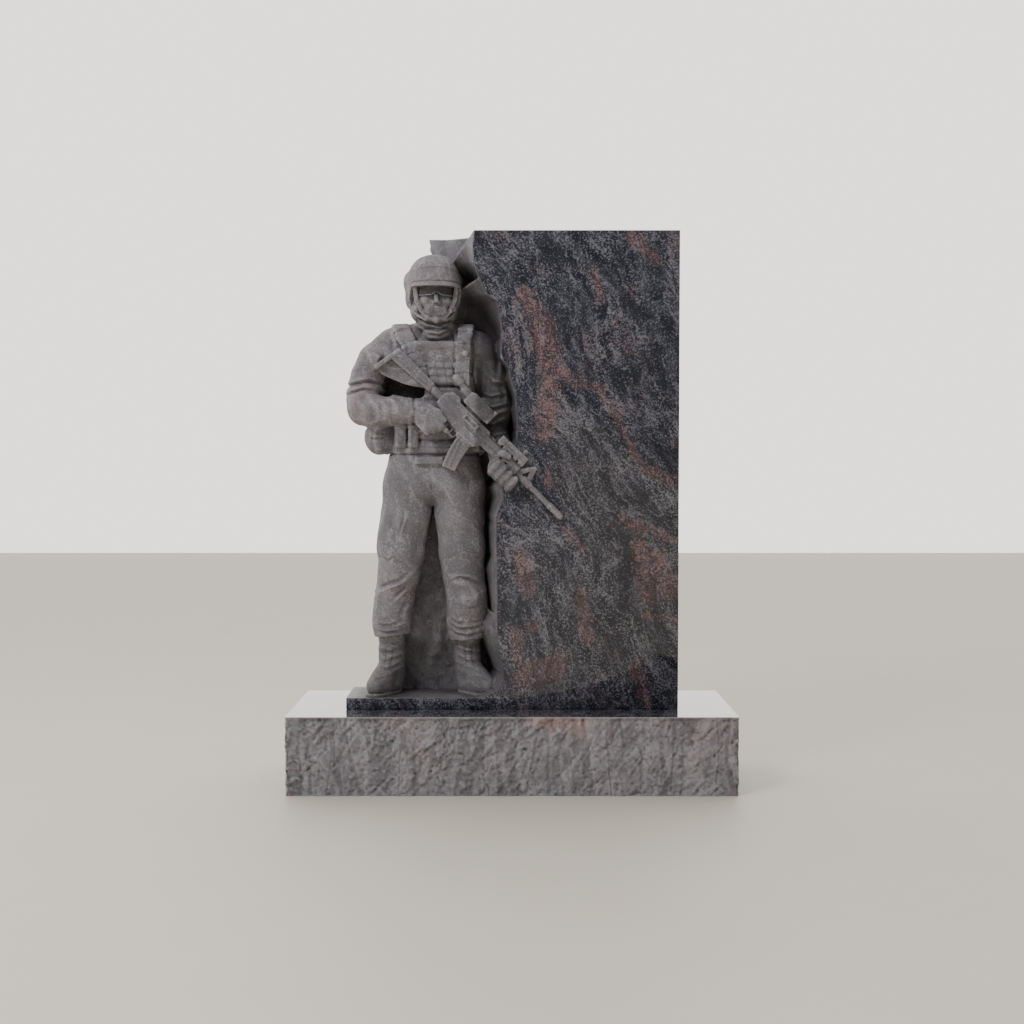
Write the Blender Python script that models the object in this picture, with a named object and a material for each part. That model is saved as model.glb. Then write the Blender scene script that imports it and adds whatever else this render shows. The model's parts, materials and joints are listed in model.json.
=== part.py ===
"""Granite headstone: one upright die with a soldier carved from its left side, on a rock-pitched base.

The die is a single stone. A niche is cut out of the block, and the figure, the rough rock behind it and
the low step under its boots are what the carver left standing. Metres, +Z up, the front faces -Y, and the
origin is the middle of the base's underside.
"""

import math

import bmesh
import bpy
from mathutils import Matrix, Vector, noise

# Base and die
BASE_WIDTH = 1.200
BASE_DEPTH = 0.400
BASE_HEIGHT = 0.210
PITCH_DEPTH = 0.012
PITCH_MEAN, PITCH_SPREAD = 0.30, 0.90
DIE_WIDTH = 0.900
DIE_THICKNESS = 0.180
DIE_HEIGHT = 1.290
STEP_HEIGHT = 0.030
BED_JOINT = 0.0003
BACK_WALL = 0.030

# Figure: it stands on the step, its middle line this far from the die's left side and from its back
FIGURE_HEIGHT = 1.204
FIGURE_FROM_SIDE = 0.235
FIGURE_FROM_BACK = 0.090

# Working sizes of the carving
CLAY_CELL = 0.0050
CARVING_SHARE = 0.047
CUT_MARGIN = 0.050
TOUCHING = 1e-6

# The figure's own measures are thousandths of MODEL_HEIGHT's unit: x to the right as seen from the
# front, y to the back, z up from the step.
MODEL_HEIGHT = 1204.0
SCALE = FIGURE_HEIGHT / MODEL_HEIGHT
FIGURE_ORIGIN = Vector((
    FIGURE_FROM_SIDE - DIE_WIDTH / 2,
    DIE_THICKNESS / 2 - FIGURE_FROM_BACK,
    BASE_HEIGHT + BED_JOINT + STEP_HEIGHT,
))

TO_METRES = Matrix.Translation(FIGURE_ORIGIN) @ Matrix.Scale(SCALE, 4)
ROUND_SIDES = 12

# The carbine slopes down to the figure's left and comes nearer to the front towards its butt
RIFLE_MUZZLE = (344, -98, 494)
RIFLE_SLOPE = math.radians(45)
RIFLE_LEAN = 0.020

# The belt is a little flatter than round
BELT_DEPTH = 0.88

# Depths of the rough rock: just behind the polished edge, at the back of the niche, at the top left.
# Its block is sunk in the slab to ROCK_COVER metres from the back.
LIP_Y = -82
LIP_OVERLAP = 8
WALL_Y = 52
ROCK_COVER = 0.006
ROCK_BACK = (FIGURE_FROM_BACK - ROCK_COVER) / SCALE
ROCK_REACH = 17
ROCK_LUMPS = 9
ROCK_TOP_Y = 10
ROCK_TOP_SLOPE = 0.586

# Carved edge of the polished face, from the top down, as (x, z)
NICHE_EDGE = [
    (114, 1262), (109, 1215), (111, 1178), (127, 1133), (147, 1091), (174, 1071), (180, 1050),
    (187, 1002), (187, 919), (207, 891), (213, 858), (224, 818), (230, 756), (230, 699), (210, 632),
    (188, 570), (191, 541), (172, 498), (172, 411), (174, 362), (174, 178), (181, 121), (191, 77),
    (193, 57), (181, 21), (130, 0),
]
# Left outline of the rock that stays behind the figure, from the top down
ROCK_EDGE = [
    (-16, 1262), (-12, 1222), (-32, 1150), (-34, 1058), (-42, 1016), (-84, 978), (-104, 900), (-96, 780),
    (-84, 680), (-92, 560), (-104, 440), (-96, 320), (-112, 200), (-104, 90), (-122, 0),
]


def smooth(low, high, value):
    t = min(1.0, max(0.0, (value - low) / (high - low)))
    return t * t * (3 - 2 * t)


def outline_x(outline, z):
    """x of an outline, given from the top down, at height z."""
    for (x_high, z_high), (x_low, z_low) in zip(outline, outline[1:]):
        if z >= z_low:
            return x_low + (x_high - x_low) * min(1.0, (z - z_low) / (z_high - z_low))
    return outline[-1][0]


def material(name, colour, roughness):
    made = bpy.data.materials.new(name)
    made.use_nodes = True
    shader = made.node_tree.nodes["Principled BSDF"]
    shader.inputs["Base Color"].default_value = (*colour, 1.0)
    shader.inputs["Roughness"].default_value = roughness
    shader.inputs["Metallic"].default_value = 0.0
    return made


def add_object(name, mesh_data, stone=None, helper=False):
    """Turns a bmesh into a named object. A helper shapes another object and isn't a part itself."""
    mesh = bpy.data.meshes.new(name)
    bmesh.ops.recalc_face_normals(mesh_data, faces=mesh_data.faces)
    mesh_data.to_mesh(mesh)
    mesh_data.free()
    made = bpy.data.objects.new(name, mesh)
    bpy.context.scene.collection.objects.link(made)
    if stone:
        mesh.materials.append(stone)
    if helper:
        made.hide_render = True
        made.display_type = "WIRE"
    return made


def extrude_outline(target, corners, depth):
    """Fills a flat outline of points and extrudes it along the vector depth."""
    face = target.faces.new([target.verts.new(corner) for corner in corners])
    grown = bmesh.ops.extrude_face_region(target, geom=[face])["geom"]
    moved = [item for item in grown if isinstance(item, bmesh.types.BMVert)]
    bmesh.ops.translate(target, verts=moved, vec=depth)


class Carving:
    """Gathers the carved forms in the figure's own units: soft ones fuse into a skin, crisp ones are
    joined to the stone one by one so that their edges stay sharp."""

    def __init__(self):
        self.soft = bmesh.new()
        self.crisp = []
        self.turn = Matrix.Identity(4)

    def fuse(self, form):
        form.transform(self.turn)
        piece = bpy.data.meshes.new("form")
        form.to_mesh(piece)
        form.free()
        self.soft.from_mesh(piece)
        bpy.data.meshes.remove(piece)

    def keep(self, name, form):
        form.transform(TO_METRES @ self.turn)
        self.crisp.append(add_object(name, form, helper=True))

    def ball(self, centre, radii, turn=(0, 0, 0)):
        form = bmesh.new()
        bmesh.ops.create_icosphere(form, subdivisions=3, radius=1.0)
        form.transform(Matrix.Translation(centre) @ turned(turn) @ Matrix.Diagonal((*radii, 1.0)))
        self.fuse(form)

    def limb(self, stations, depth=1.0):
        """A chain of round tapers through (x, y, z, radius), each as deep as depth times its width."""
        for ends in zip(stations, stations[1:]):
            form = bmesh.new()
            for x, y, z, radius in ends:
                place = Matrix.Translation((x, y, z)) @ Matrix.Diagonal((1.0, depth, 1.0, 1.0))
                bmesh.ops.create_icosphere(form, subdivisions=3, radius=radius, matrix=place)
            wrap(form)
            self.fuse(form)

    def sole(self, stations, height):
        """A flat slab that lies on the step and follows (x, y, radius)."""
        for ends in zip(stations, stations[1:]):
            form = bmesh.new()
            for x, y, radius in ends:
                bmesh.ops.create_cone(form, cap_ends=True, segments=ROUND_SIDES, radius1=radius,
                                      radius2=radius, depth=2 * height, matrix=Matrix.Translation((x, y, 0)))
            wrap(form)
            self.fuse(form)

    def block(self, name, centre, half, turn=(0, 0, 0), rounding=3.0):
        form = bmesh.new()
        bmesh.ops.create_cube(form, size=2.0)
        form.transform(Matrix.Diagonal((*half, 1.0)))
        bmesh.ops.bevel(form, geom=form.edges[:], offset=rounding, segments=1, affect="EDGES", profile=0.5)
        form.transform(Matrix.Translation(centre) @ turned(turn))
        self.keep(name, form)

    def strap(self, name, path, width, height):
        """A flat band that follows the points of path."""
        sides = []
        form = bmesh.new()
        for index, point in enumerate(path):
            before, after = Vector(path[max(0, index - 1)]), Vector(path[min(len(path) - 1, index + 1)])
            along = (after - before).normalized()
            across = Vector((1, 0, 0)) - along * along.x
            across.normalize()
            out = across.cross(along)
            if out.y > 0:
                out = -out
            sides.append([form.verts.new(Vector(point) + across * width / 2 * s + out * height / 2 * t)
                          for s, t in ((-1, -1), (1, -1), (1, 1), (-1, 1))])
        for start, end in zip(sides, sides[1:]):
            for corner in range(4):
                after = (corner + 1) % 4
                form.faces.new((start[corner], start[after], end[after], end[corner]))
        form.faces.new(sides[0])
        form.faces.new(sides[-1])
        self.keep(name, form)

    def tube(self, name, start, end, radius):
        start, end = Vector(start), Vector(end)
        run = end - start
        place = Matrix.Translation((start + end) / 2) @ run.to_track_quat("Z", "Y").to_matrix().to_4x4()
        form = bmesh.new()
        bmesh.ops.create_cone(form, cap_ends=True, segments=ROUND_SIDES, radius1=radius, radius2=radius,
                              depth=run.length, matrix=place)
        self.keep(name, form)

    def plate(self, name, corners, depth):
        form = bmesh.new()
        extrude_outline(form, corners, depth)
        self.keep(name, form)


def turned(degrees):
    """A turn about x, then y, then z."""
    matrix = Matrix.Identity(4)
    for axis, angle in zip("XYZ", degrees):
        matrix = Matrix.Rotation(math.radians(angle), 4, axis) @ matrix
    return matrix


def wrap(form):
    """Replaces what is in a bmesh by its convex hull."""
    hull = bmesh.ops.convex_hull(form, input=form.verts)
    spare = {item for item in hull["geom_interior"] + hull["geom_unused"]
             if isinstance(item, bmesh.types.BMVert)}
    bmesh.ops.delete(form, geom=list(spare), context="VERTS")


def rock_front(x, z):
    """y of the rough rock left behind the figure: deep in the niche, rising to the polished face."""
    clear = max(0.0, outline_x(NICHE_EDGE, z) - x)
    reach = ROCK_REACH * (1 + 0.8 * smooth(940, 1010, z) * (1 - smooth(1110, 1180, z)))
    y = LIP_Y + (WALL_Y - LIP_Y) * (1 - math.exp(-((clear / reach) ** 1.4)))
    blend = smooth(1165, 1225, z) * smooth(0, 4, clear)
    y += (ROCK_TOP_Y + ROCK_TOP_SLOPE * (NICHE_EDGE[0][0] - x) - y) * blend
    broad, small = noise.noise(Vector((x / 52, 0.3, z / 76))), noise.noise(Vector((x / 25, 7.1, z / 36)))
    lumps = (broad + small / 2) * smooth(0, 26, clear)
    return min(y + ROCK_LUMPS * lumps, ROCK_BACK - 4)


def rock(work):
    """The rough wall between the figure and the back of the die, on a grid from its left outline."""
    columns, rows = 9, 30
    low_z, high_z = -0.6 * STEP_HEIGHT / SCALE, (DIE_HEIGHT - STEP_HEIGHT) / SCALE - 1
    form = bmesh.new()
    skin = []
    for row in range(rows + 1):
        z = low_z + (high_z - low_z) * row / rows
        low, high = outline_x(ROCK_EDGE, z) + 2, outline_x(NICHE_EDGE, z)
        line = [form.verts.new((high + LIP_OVERLAP, rock_front(high, z), z))]
        for column in range(columns + 1):
            x = high - 2 - (high - 2 - low) * (column / columns) ** 1.5
            line.append(form.verts.new((x, rock_front(x, z), z)))
        skin.append(line)
    sheet = []
    for lower, upper in zip(skin, skin[1:]):
        for column in range(len(lower) - 1):
            sheet.append(form.faces.new(
                (lower[column], lower[column + 1], upper[column + 1], upper[column])))
    grown = bmesh.ops.extrude_face_region(form, geom=sheet)["geom"]
    for item in grown:
        if isinstance(item, bmesh.types.BMVert):
            item.co.y = ROCK_BACK
    bmesh.ops.dissolve_limit(form, angle_limit=math.radians(1), verts=form.verts, edges=form.edges)
    bmesh.ops.triangulate(form, faces=form.faces)
    work.keep("rock", form)


def trunk(work):
    """Hips, chest and shoulders under the uniform, and the stone left uncut behind the right elbow."""
    work.ball((3, 2, 604), (131, 76, 96))
    work.limb([(2, 0, 660, 112), (4, -8, 760, 112), (5, -12, 880, 118)], depth=0.68)
    work.limb([(-92, 2, 940, 56), (90, 4, 940, 56)])
    work.limb([(0, 2, 990, 40), (-108, 2, 954, 48)])
    work.limb([(6, 2, 990, 40), (108, 4, 950, 47)])
    work.ball((-132, 40, 846), (54, 32, 70))


def vest(work):
    """Plate carrier with its shoulder straps, side pouches and belt."""
    work.block("vest_front", (18, -74, 905), (72, 18, 60), rounding=7)
    work.block("vest_belly", (22, -70, 782), (80, 18, 62), rounding=9)
    work.strap("strap_right", [(-90, 2, 1018), (-82, -46, 1010), (-64, -80, 968), (-36, -95, 912),
                               (-30, -97, 866)], 46, 16)
    work.strap("strap_left", [(86, 2, 1016), (86, -48, 1004), (86, -80, 958), (84, -95, 906),
                              (78, -97, 858)], 42, 16)
    work.tube("strap_button", (88, -96, 928), (88, -106, 928), 9)
    for row, z in enumerate((856, 838)):
        work.block(f"webbing_{row}", (22, -92, z), (40, 4, 6), rounding=1.5)
    # Pouches hang from the belt, each beside the one before
    for index, (centre, half, turn) in enumerate((
        ((-133, -20, 704), (38, 36, 42), (0, -14, 22)),
        ((-80, -68, 716), (17, 20, 38), (0, 0, 14)),
        ((-42, -76, 716), (16, 18, 38), (0, 0, 6)),
        ((116, -34, 712), (30, 36, 44), (0, 0, -30)),
    )):
        work.block(f"pouch_{index}", centre, half, turn=turn, rounding=9)
    work.limb([(-116, -6, 676, 24), (-62, -56, 677, 24), (4, -66, 677, 24), (68, -56, 677, 24),
               (118, -6, 676, 24)], depth=BELT_DEPTH)
    work.block("buckle", (-8, -70, 652), (36, 18, 11), rounding=3)


def legs(work):
    """Trousers, loose at the thigh and bloused over the boots, with a thigh pocket and padded knees."""
    work.limb([(-54, 4, 652, 72), (-62, 0, 570, 76), (-74, -4, 488, 72), (-88, -8, 400, 64),
               (-99, -11, 322, 54), (-114, -11, 258, 50), (-117, -6, 214, 49), (-119, -1, 178, 52),
               (-120, 5, 158, 44)])
    work.limb([(56, 4, 652, 72), (62, 0, 570, 76), (66, -4, 488, 71), (71, -8, 400, 64), (82, -11, 322, 55),
               (94, -11, 258, 53), (93, -6, 214, 56), (92, -1, 178, 56), (91, 5, 158, 44)])
    work.ball((-128, -6, 408), (33, 46, 60))
    work.ball((116, -4, 408), (26, 44, 58))
    work.ball((-114, -29, 262), (43, 36, 46), turn=(0, 12, 0))
    work.ball((94, -30, 256), (44, 38, 46), turn=(0, -14, 0))


def boot(work, shaft_x, toe_x, toe_y):
    """A laced boot: shaft, ankle, heel and a toe turned outwards."""
    ball_x, ball_y = shaft_x + 0.62 * (toe_x - shaft_x), 0.62 * toe_y
    work.limb([(shaft_x, 8, 168, 38), (shaft_x, 10, 92, 36), (shaft_x, 12, 48, 37)])
    work.limb([(shaft_x, 2, 64, 35), (ball_x, ball_y, 33, 31), (toe_x, toe_y, 25, 28)])
    work.limb([(shaft_x + 1, 38, 28, 30), (shaft_x, 6, 28, 32), (ball_x, ball_y, 22, 34)])
    work.sole([(shaft_x, 40, 32), (shaft_x, 4, 32), (ball_x, ball_y, 36), (toe_x, toe_y, 33)], 12)


def arms(work):
    """Loose sleeves. The right arm reaches to the grip, the left one forward under the barrel."""
    work.ball((-126, 0, 934), (72, 60, 70))
    work.limb([(-136, 0, 932, 60), (-176, -4, 874, 50), (-189, -16, 818, 48), (-188, -30, 786, 49)])
    work.limb([(-188, -32, 784, 48), (-150, -56, 773, 46), (-104, -80, 777, 38), (-52, -100, 776, 33),
               (-14, -108, 766, 27)])
    work.block("sleeve_pocket", (-160, -46, 922), (34, 20, 24), turn=(0, -38, 20), rounding=7)
    work.ball((116, 4, 932), (66, 58, 68))
    work.limb([(124, 0, 930, 60), (156, -4, 862, 48), (166, -6, 790, 47), (162, -6, 734, 44)])
    work.limb([(160, -8, 732, 42), (172, -52, 694, 35), (182, -84, 658, 30), (188, -104, 630, 27)])


def hands(work):
    """Gloved hands: the right one round the grip, the left one under the fore-end."""
    work.limb([(-16, -108, 766, 27), (8, -114, 752, 28), (18, -114, 732, 26)])
    work.limb([(12, -124, 756, 12), (34, -128, 740, 10), (52, -126, 722, 9)])
    for step in range(3):
        work.limb([(4 - 4 * step, -126, 742 - 12 * step, 10.5), (24 - 5 * step, -126, 724 - 11 * step, 9.5)])
    work.ball((184, -104, 618), (31, 24, 29), turn=(0, 45, 0))
    for step in range(4):
        x, z = 172 + 15 * step, 630 - 13 * step
        work.limb([(x - 8, -112, z - 14, 10.5), (x - 4, -129, z - 4, 10.5), (x + 7, -128, z + 8, 9.5)])


def rim_height(x, y):
    """Height of the helmet's rim over the ear line: high over the brow, low over the ears and neck."""
    forward = -y / max(1e-6, math.hypot(x, y))
    return -20 + 46 * smooth(0.34, 0.66, forward)


def helmet(work):
    """A full dome whose rim dips over the ears, built ring by ring from its crown."""
    rings, sides = 10, 40
    centre_z, wide, long, high = 34, 74, 92, 86
    fullness = 0.86
    form = bmesh.new()
    crown = form.verts.new((0, -2, centre_z + high))
    lines = []
    for ring in range(1, rings + 1):
        line = []
        for side in range(sides):
            angle = 2 * math.pi * side / sides
            x, y = math.sin(angle), -math.cos(angle)
            low = math.acos((rim_height(x * wide, y * long) - centre_z) / high)
            fall = low * ring / rings
            spread = math.sin(min(fall, math.pi / 2)) ** fullness
            spread *= 1 + 0.05 * smooth(1.2, 1.9, fall)
            line.append(form.verts.new((wide * spread * x, long * spread * y - 2,
                                        centre_z + high * math.cos(fall))))
        lines.append(line)
    inside = form.verts.new((0, -2, 20))
    for side in range(sides):
        after = (side + 1) % sides
        form.faces.new((crown, lines[0][side], lines[0][after]))
        form.faces.new((lines[-1][after], lines[-1][side], inside))
        for upper, lower in zip(lines, lines[1:]):
            form.faces.new((upper[side], lower[side], lower[after], upper[after]))
    bmesh.ops.recalc_face_normals(form, faces=form.faces)
    work.fuse(form)


def head(work):
    """Head, wrapped neck and helmet, turned a little to its left. The face is a plain general one."""
    work.limb([(8, -6, 955, 46), (4, -10, 1030, 40)])
    work.ball((6, -22, 980), (60, 54, 30), turn=(0, 6, 0))
    work.ball((6, -26, 1008), (50, 52, 22), turn=(0, -5, 0))
    work.turn = Matrix.Translation((0, -12, 1085)) @ Matrix.Rotation(math.radians(9), 4, "Z")
    work.ball((0, -8, 14), (58, 66, 66))
    work.ball((0, -32, -26), (44, 46, 42))
    work.ball((0, -62, -50), (19, 15, 13))
    for side in (-1, 1):
        work.ball((side * 24, -50, -14), (20, 24, 22))
        work.ball((side * 72, 0, 46), (10, 20, 18))
        work.limb([(side * 60, -16, -8, 7.5), (side * 50, -40, -34, 7), (side * 24, -62, -62, 7)])
    work.limb([(0, -76, 6, 7), (0, -88, -16, 9)])
    work.ball((0, -76, -34), (16, 8, 7))
    work.block("eyewear", (0, -66, 8), (47, 16, 12), rounding=5)
    helmet(work)
    work.turn = Matrix.Identity(4)


def rifle_point(u, v, w):
    """A point of the carbine. u runs from the butt to the muzzle at zero, v to its top, w to the back."""
    x = RIFLE_MUZZLE[0] + u * math.cos(RIFLE_SLOPE) + v * math.sin(RIFLE_SLOPE)
    z = RIFLE_MUZZLE[2] - u * math.sin(RIFLE_SLOPE) + v * math.cos(RIFLE_SLOPE)
    return Vector((x, RIFLE_MUZZLE[1] + w + RIFLE_LEAN * u, z))


def magazine_outline():
    """A curved box: its two long sides are arcs that swing towards the muzzle."""
    steps = 5
    rear, front = [], []
    for step in range(steps + 1):
        t = step / steps
        bend = 14 * t + 18 * t * t
        rear.append((-348 + bend, -30 - 92 * t))
        front.append((-304 + bend * 0.72, -24 - 86 * t))
    return rear + front[::-1]


def rifle(work):
    """The carbine: flat parts as outlines (u, v) with front and back depth, round ones as tubes."""
    plates = {
        "comb": ([(-616, -20), (-616, 13), (-486, 14), (-486, -14)], (-13, 34)),
        "stock_web": ([(-618, -12), (-630, -64), (-606, -72), (-520, -38), (-484, -8)], (-6, 34)),
        "butt": ([(-620, 12), (-634, -66), (-624, -70), (-610, 12)], (-14, 34)),
        "receiver": ([(-450, -16), (-450, 16), (-436, 33), (-412, 36), (-402, 27), (-292, 27),
                      (-287, 18), (-287, -24), (-302, -38), (-346, -46), (-362, -34), (-404, -32),
                      (-430, -24)], (-16, 44)),
        "grip": ([(-424, -20), (-398, -22), (-412, -84), (-438, -74)], (-11, 34)),
        "trigger_guard": ([(-400, -28), (-396, -56), (-352, -60), (-342, -30)], (-6, 20)),
        "magazine": (magazine_outline(), (-11, 30)),
        "fore_end": ([(-296, -18), (-296, 17), (-165, 16), (-165, -16)], (-17, 22)),
        "top_rail": ([(-292, 12), (-292, 24), (-168, 24), (-168, 12)], (-9, 20)),
        "light_box": ([(-261, 20), (-261, 48), (-168, 49), (-166, 20)], (-12, 22)),
        "scope_foot": ([(-384, 22), (-384, 48), (-332, 48), (-332, 22)], (-5, 18)),
        "sight_rear_leg": ([(-172, 8), (-142, 46), (-132, 46), (-155, 8)], (-5, 16)),
        "sight_front_leg": ([(-144, 40), (-133, 46), (-118, -8), (-130, -8)], (-4, 15)),
        "barrel_web": ([(-150, -4), (-150, 4), (-6, 4), (-6, -4)], (2, 24)),
    }
    tubes = {
        "buffer": (-492, 0, -440, 2, 12),
        "eyepiece": (-455, 62, -428, 62, 11),
        "scope": (-432, 60, -388, 54, 8),
        "scope_bell": (-396, 53, -322, 53, 16),
        "barrel": (-170, 0, -36, 0, 8),
        "flash_hider": (-40, 0, 0, 0, 9.5),
        "knob": (-187, 46, -187, 58, 7),
        "gas_block": (-140, 0, -118, 0, 11),
    }
    for name, (outline, (front, back)) in plates.items():
        depth = rifle_point(0, 0, back) - rifle_point(0, 0, front)
        work.plate(name, [rifle_point(u, v, front) for u, v in outline], depth)
    for name, (u0, v0, u1, v1, radius) in tubes.items():
        work.tube(name, rifle_point(u0, v0, 0), rifle_point(u1, v1, 0), radius)


def carving():
    """Fuses the soft forms into one skin, thins it to a workable number of faces and adds the crisp ones."""
    work = Carving()
    for section in (rock, rifle, trunk, vest, legs, arms, hands, head):
        section(work)
    boot(work, -121, -158, -56)
    boot(work, 91, 146, -44)
    work.soft.transform(TO_METRES)
    skin = add_object("carved_figure", work.soft, helper=True)
    fuse = skin.modifiers.new("fuse", "REMESH")
    fuse.mode = "VOXEL"
    fuse.voxel_size = CLAY_CELL
    soften = skin.modifiers.new("soften", "SMOOTH")
    soften.factor = 0.5
    soften.iterations = 2
    thin = skin.modifiers.new("thin", "DECIMATE")
    thin.ratio = CARVING_SHARE
    return [*work.crisp, skin]


def outline_prism(name, outline, front, back):
    """A cutter: an outline given in figure units, run from one depth to another in metres."""
    form = bmesh.new()
    corners = [TO_METRES @ Vector((x, 0, z)) for x, z in outline]
    for corner in corners:
        corner.y = front
    extrude_outline(form, corners, Vector((0, back - front, 0)))
    return add_object(name, form, helper=True)


def die(stone):
    """The upright stone: a sawn block, the niche and flank cut away, and the carving left standing."""
    form = bmesh.new()
    bmesh.ops.create_cube(form, size=1.0)
    bottom = BASE_HEIGHT + BED_JOINT
    form.transform(Matrix.Translation((0, 0, bottom + DIE_HEIGHT / 2)) @ Matrix.Diagonal(
        (DIE_WIDTH, DIE_THICKNESS, DIE_HEIGHT, 1.0)))
    made = add_object("headstone_with_soldier", form, stone)
    top = (bottom + DIE_HEIGHT - FIGURE_ORIGIN.z) / SCALE
    over = max(top, NICHE_EDGE[0][1], ROCK_EDGE[0][1]) + CUT_MARGIN / SCALE
    outside = -(FIGURE_FROM_SIDE + CUT_MARGIN) / SCALE
    front = -DIE_THICKNESS / 2 - CUT_MARGIN
    wall_front = DIE_THICKNESS / 2 - BACK_WALL
    niche = [(outside, over), (NICHE_EDGE[0][0], over), *NICHE_EDGE, (outside, 0)]
    flank = [(outside, over), (ROCK_EDGE[0][0], over), *ROCK_EDGE, (outside, 0)]
    cutters = [
        outline_prism("niche_cut", niche, front, wall_front),
        outline_prism("flank_cut", flank, front, DIE_THICKNESS / 2 + CUT_MARGIN),
    ]
    for cutter in cutters:
        cut = made.modifiers.new(cutter.name, "BOOLEAN")
        cut.operation = "DIFFERENCE"
        cut.object = cutter
    forms = bpy.data.collections.new("carved_forms")
    for piece in carving():
        forms.objects.link(piece)
    join = made.modifiers.new("carving", "BOOLEAN")
    join.operation = "UNION"
    join.operand_type = "COLLECTION"
    join.collection = forms
    return made


def base(stone):
    """The base: sawn bottom, polished top, and four sides pitched to a rough rock face."""
    columns, rows, ranks = 20, 6, 3
    rough_scale = Vector((9.0, 9.0, 13.0))
    form = bmesh.new()
    bmesh.ops.create_cube(form, size=1.0)
    form.transform(Matrix.Translation((0, 0, BASE_HEIGHT / 2)) @ Matrix.Diagonal(
        (BASE_WIDTH, BASE_DEPTH, BASE_HEIGHT, 1.0)))
    for axis, count, size in ((0, columns, BASE_WIDTH), (1, rows, BASE_DEPTH), (2, ranks, BASE_HEIGHT)):
        low = 0.0 if axis == 2 else -size / 2
        for step in range(1, count):
            normal = Vector([1.0 if i == axis else 0.0 for i in range(3)])
            geometry = form.verts[:] + form.edges[:] + form.faces[:]
            bmesh.ops.bisect_plane(form, geom=geometry, plane_co=normal * (low + size * step / count),
                                   plane_no=normal)
    flat = []
    for vert in form.verts:
        on_side = abs(vert.co.x) > BASE_WIDTH / 2 - TOUCHING
        on_front = abs(vert.co.y) > BASE_DEPTH / 2 - TOUCHING
        if not (on_side or on_front):
            flat.append(vert)
            continue
        rough = noise.noise(vert.co * rough_scale)
        depth = PITCH_DEPTH * max(0.0, PITCH_MEAN + PITCH_SPREAD * rough)
        if on_side:
            vert.co.x -= math.copysign(depth, vert.co.x)
        if on_front:
            vert.co.y -= math.copysign(depth, vert.co.y)
    bmesh.ops.dissolve_verts(form, verts=flat)
    bmesh.ops.triangulate(form, faces=form.faces)
    return add_object("base", form, stone)


def clear_scene():
    for thing in list(bpy.data.objects):
        bpy.data.objects.remove(thing)


clear_scene()
base(material("rock_pitched_granite", (0.235, 0.215, 0.215), 0.75))
die(material("carved_granite", (0.155, 0.145, 0.150), 0.55))
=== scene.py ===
import json
import math

import bmesh
import bpy
import numpy as np
from mathutils import Matrix, Vector, noise

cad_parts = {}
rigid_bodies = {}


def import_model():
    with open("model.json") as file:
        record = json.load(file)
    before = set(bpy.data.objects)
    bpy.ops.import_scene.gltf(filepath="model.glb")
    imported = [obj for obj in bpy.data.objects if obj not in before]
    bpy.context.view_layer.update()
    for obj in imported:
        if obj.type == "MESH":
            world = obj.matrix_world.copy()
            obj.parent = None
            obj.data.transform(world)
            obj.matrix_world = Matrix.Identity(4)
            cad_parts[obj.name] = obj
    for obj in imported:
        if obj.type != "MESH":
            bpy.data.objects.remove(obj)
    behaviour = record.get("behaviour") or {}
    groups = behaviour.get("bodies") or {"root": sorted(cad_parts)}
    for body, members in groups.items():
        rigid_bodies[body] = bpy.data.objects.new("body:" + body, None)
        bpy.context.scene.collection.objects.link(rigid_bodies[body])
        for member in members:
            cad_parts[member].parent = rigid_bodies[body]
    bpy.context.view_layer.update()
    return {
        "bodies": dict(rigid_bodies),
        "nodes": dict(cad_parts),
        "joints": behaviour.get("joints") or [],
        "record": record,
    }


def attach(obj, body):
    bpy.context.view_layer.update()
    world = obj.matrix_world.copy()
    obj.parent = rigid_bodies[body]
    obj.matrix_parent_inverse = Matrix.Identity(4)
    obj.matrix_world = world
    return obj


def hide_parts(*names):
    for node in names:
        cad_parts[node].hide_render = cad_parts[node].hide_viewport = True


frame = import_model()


# Camera: a long lens a little below the middle of the stone, tipped slightly down, square to its face.
CAMERA_PLACE = (0.0, -3.52, 0.875)
CAMERA_TIP = math.radians(2.16)
LENS, SENSOR = 44.75, 36.0

camera_data = bpy.data.cameras.new("camera")
camera_data.lens = LENS
camera_data.sensor_width = SENSOR
camera = bpy.data.objects.new("camera", camera_data)
bpy.context.scene.collection.objects.link(camera)
camera.location = CAMERA_PLACE
camera.rotation_euler = (math.pi / 2 - CAMERA_TIP, 0, 0)
bpy.context.scene.camera = camera


# Base: one block of the same granite as the die. Its top is sawn and polished, and its four sides are
# pitched: split off with a broad chisel, which leaves scalloped, ridged rock inside a straight outline.
BASE_WIDTH, BASE_DEPTH, BASE_HEIGHT = 1.200, 0.400, 0.210
PITCH_DEPTH = 0.013
WRINKLE = 0.026
ARRIS_WAVE = 0.0030


def add_node(tree, kind, inputs=None, **settings):
    """A node with its settings, its inputs given by name or number as values or as sockets to link."""
    made = tree.nodes.new(kind)
    for name, value in settings.items():
        setattr(made, name, value)
    for key, value in (inputs or {}).items():
        if isinstance(value, bpy.types.NodeSocket):
            tree.links.new(value, made.inputs[key])
        else:
            made.inputs[key].default_value = value
    return made


def maths(tree, operation, *values, clamp=False):
    """One arithmetic step, in a shader tree or in a geometry tree."""
    made = add_node(tree, "ShaderNodeMath", dict(enumerate(values)), operation=operation, use_clamp=clamp)
    return made.outputs[0]


def vector_maths(tree, operation, *values):
    made = add_node(tree, "ShaderNodeVectorMath", operation=operation)
    sockets = [socket for socket in made.inputs if socket.enabled]
    if operation == "SCALE":
        sockets = [made.inputs[0], made.inputs["Scale"]]
    for socket, value in zip(sockets, values):
        if isinstance(value, bpy.types.NodeSocket):
            tree.links.new(value, socket)
        else:
            socket.default_value = value
    return made.outputs["Value"] if operation in ("LENGTH", "DOT_PRODUCT", "DISTANCE") else made.outputs[0]


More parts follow.
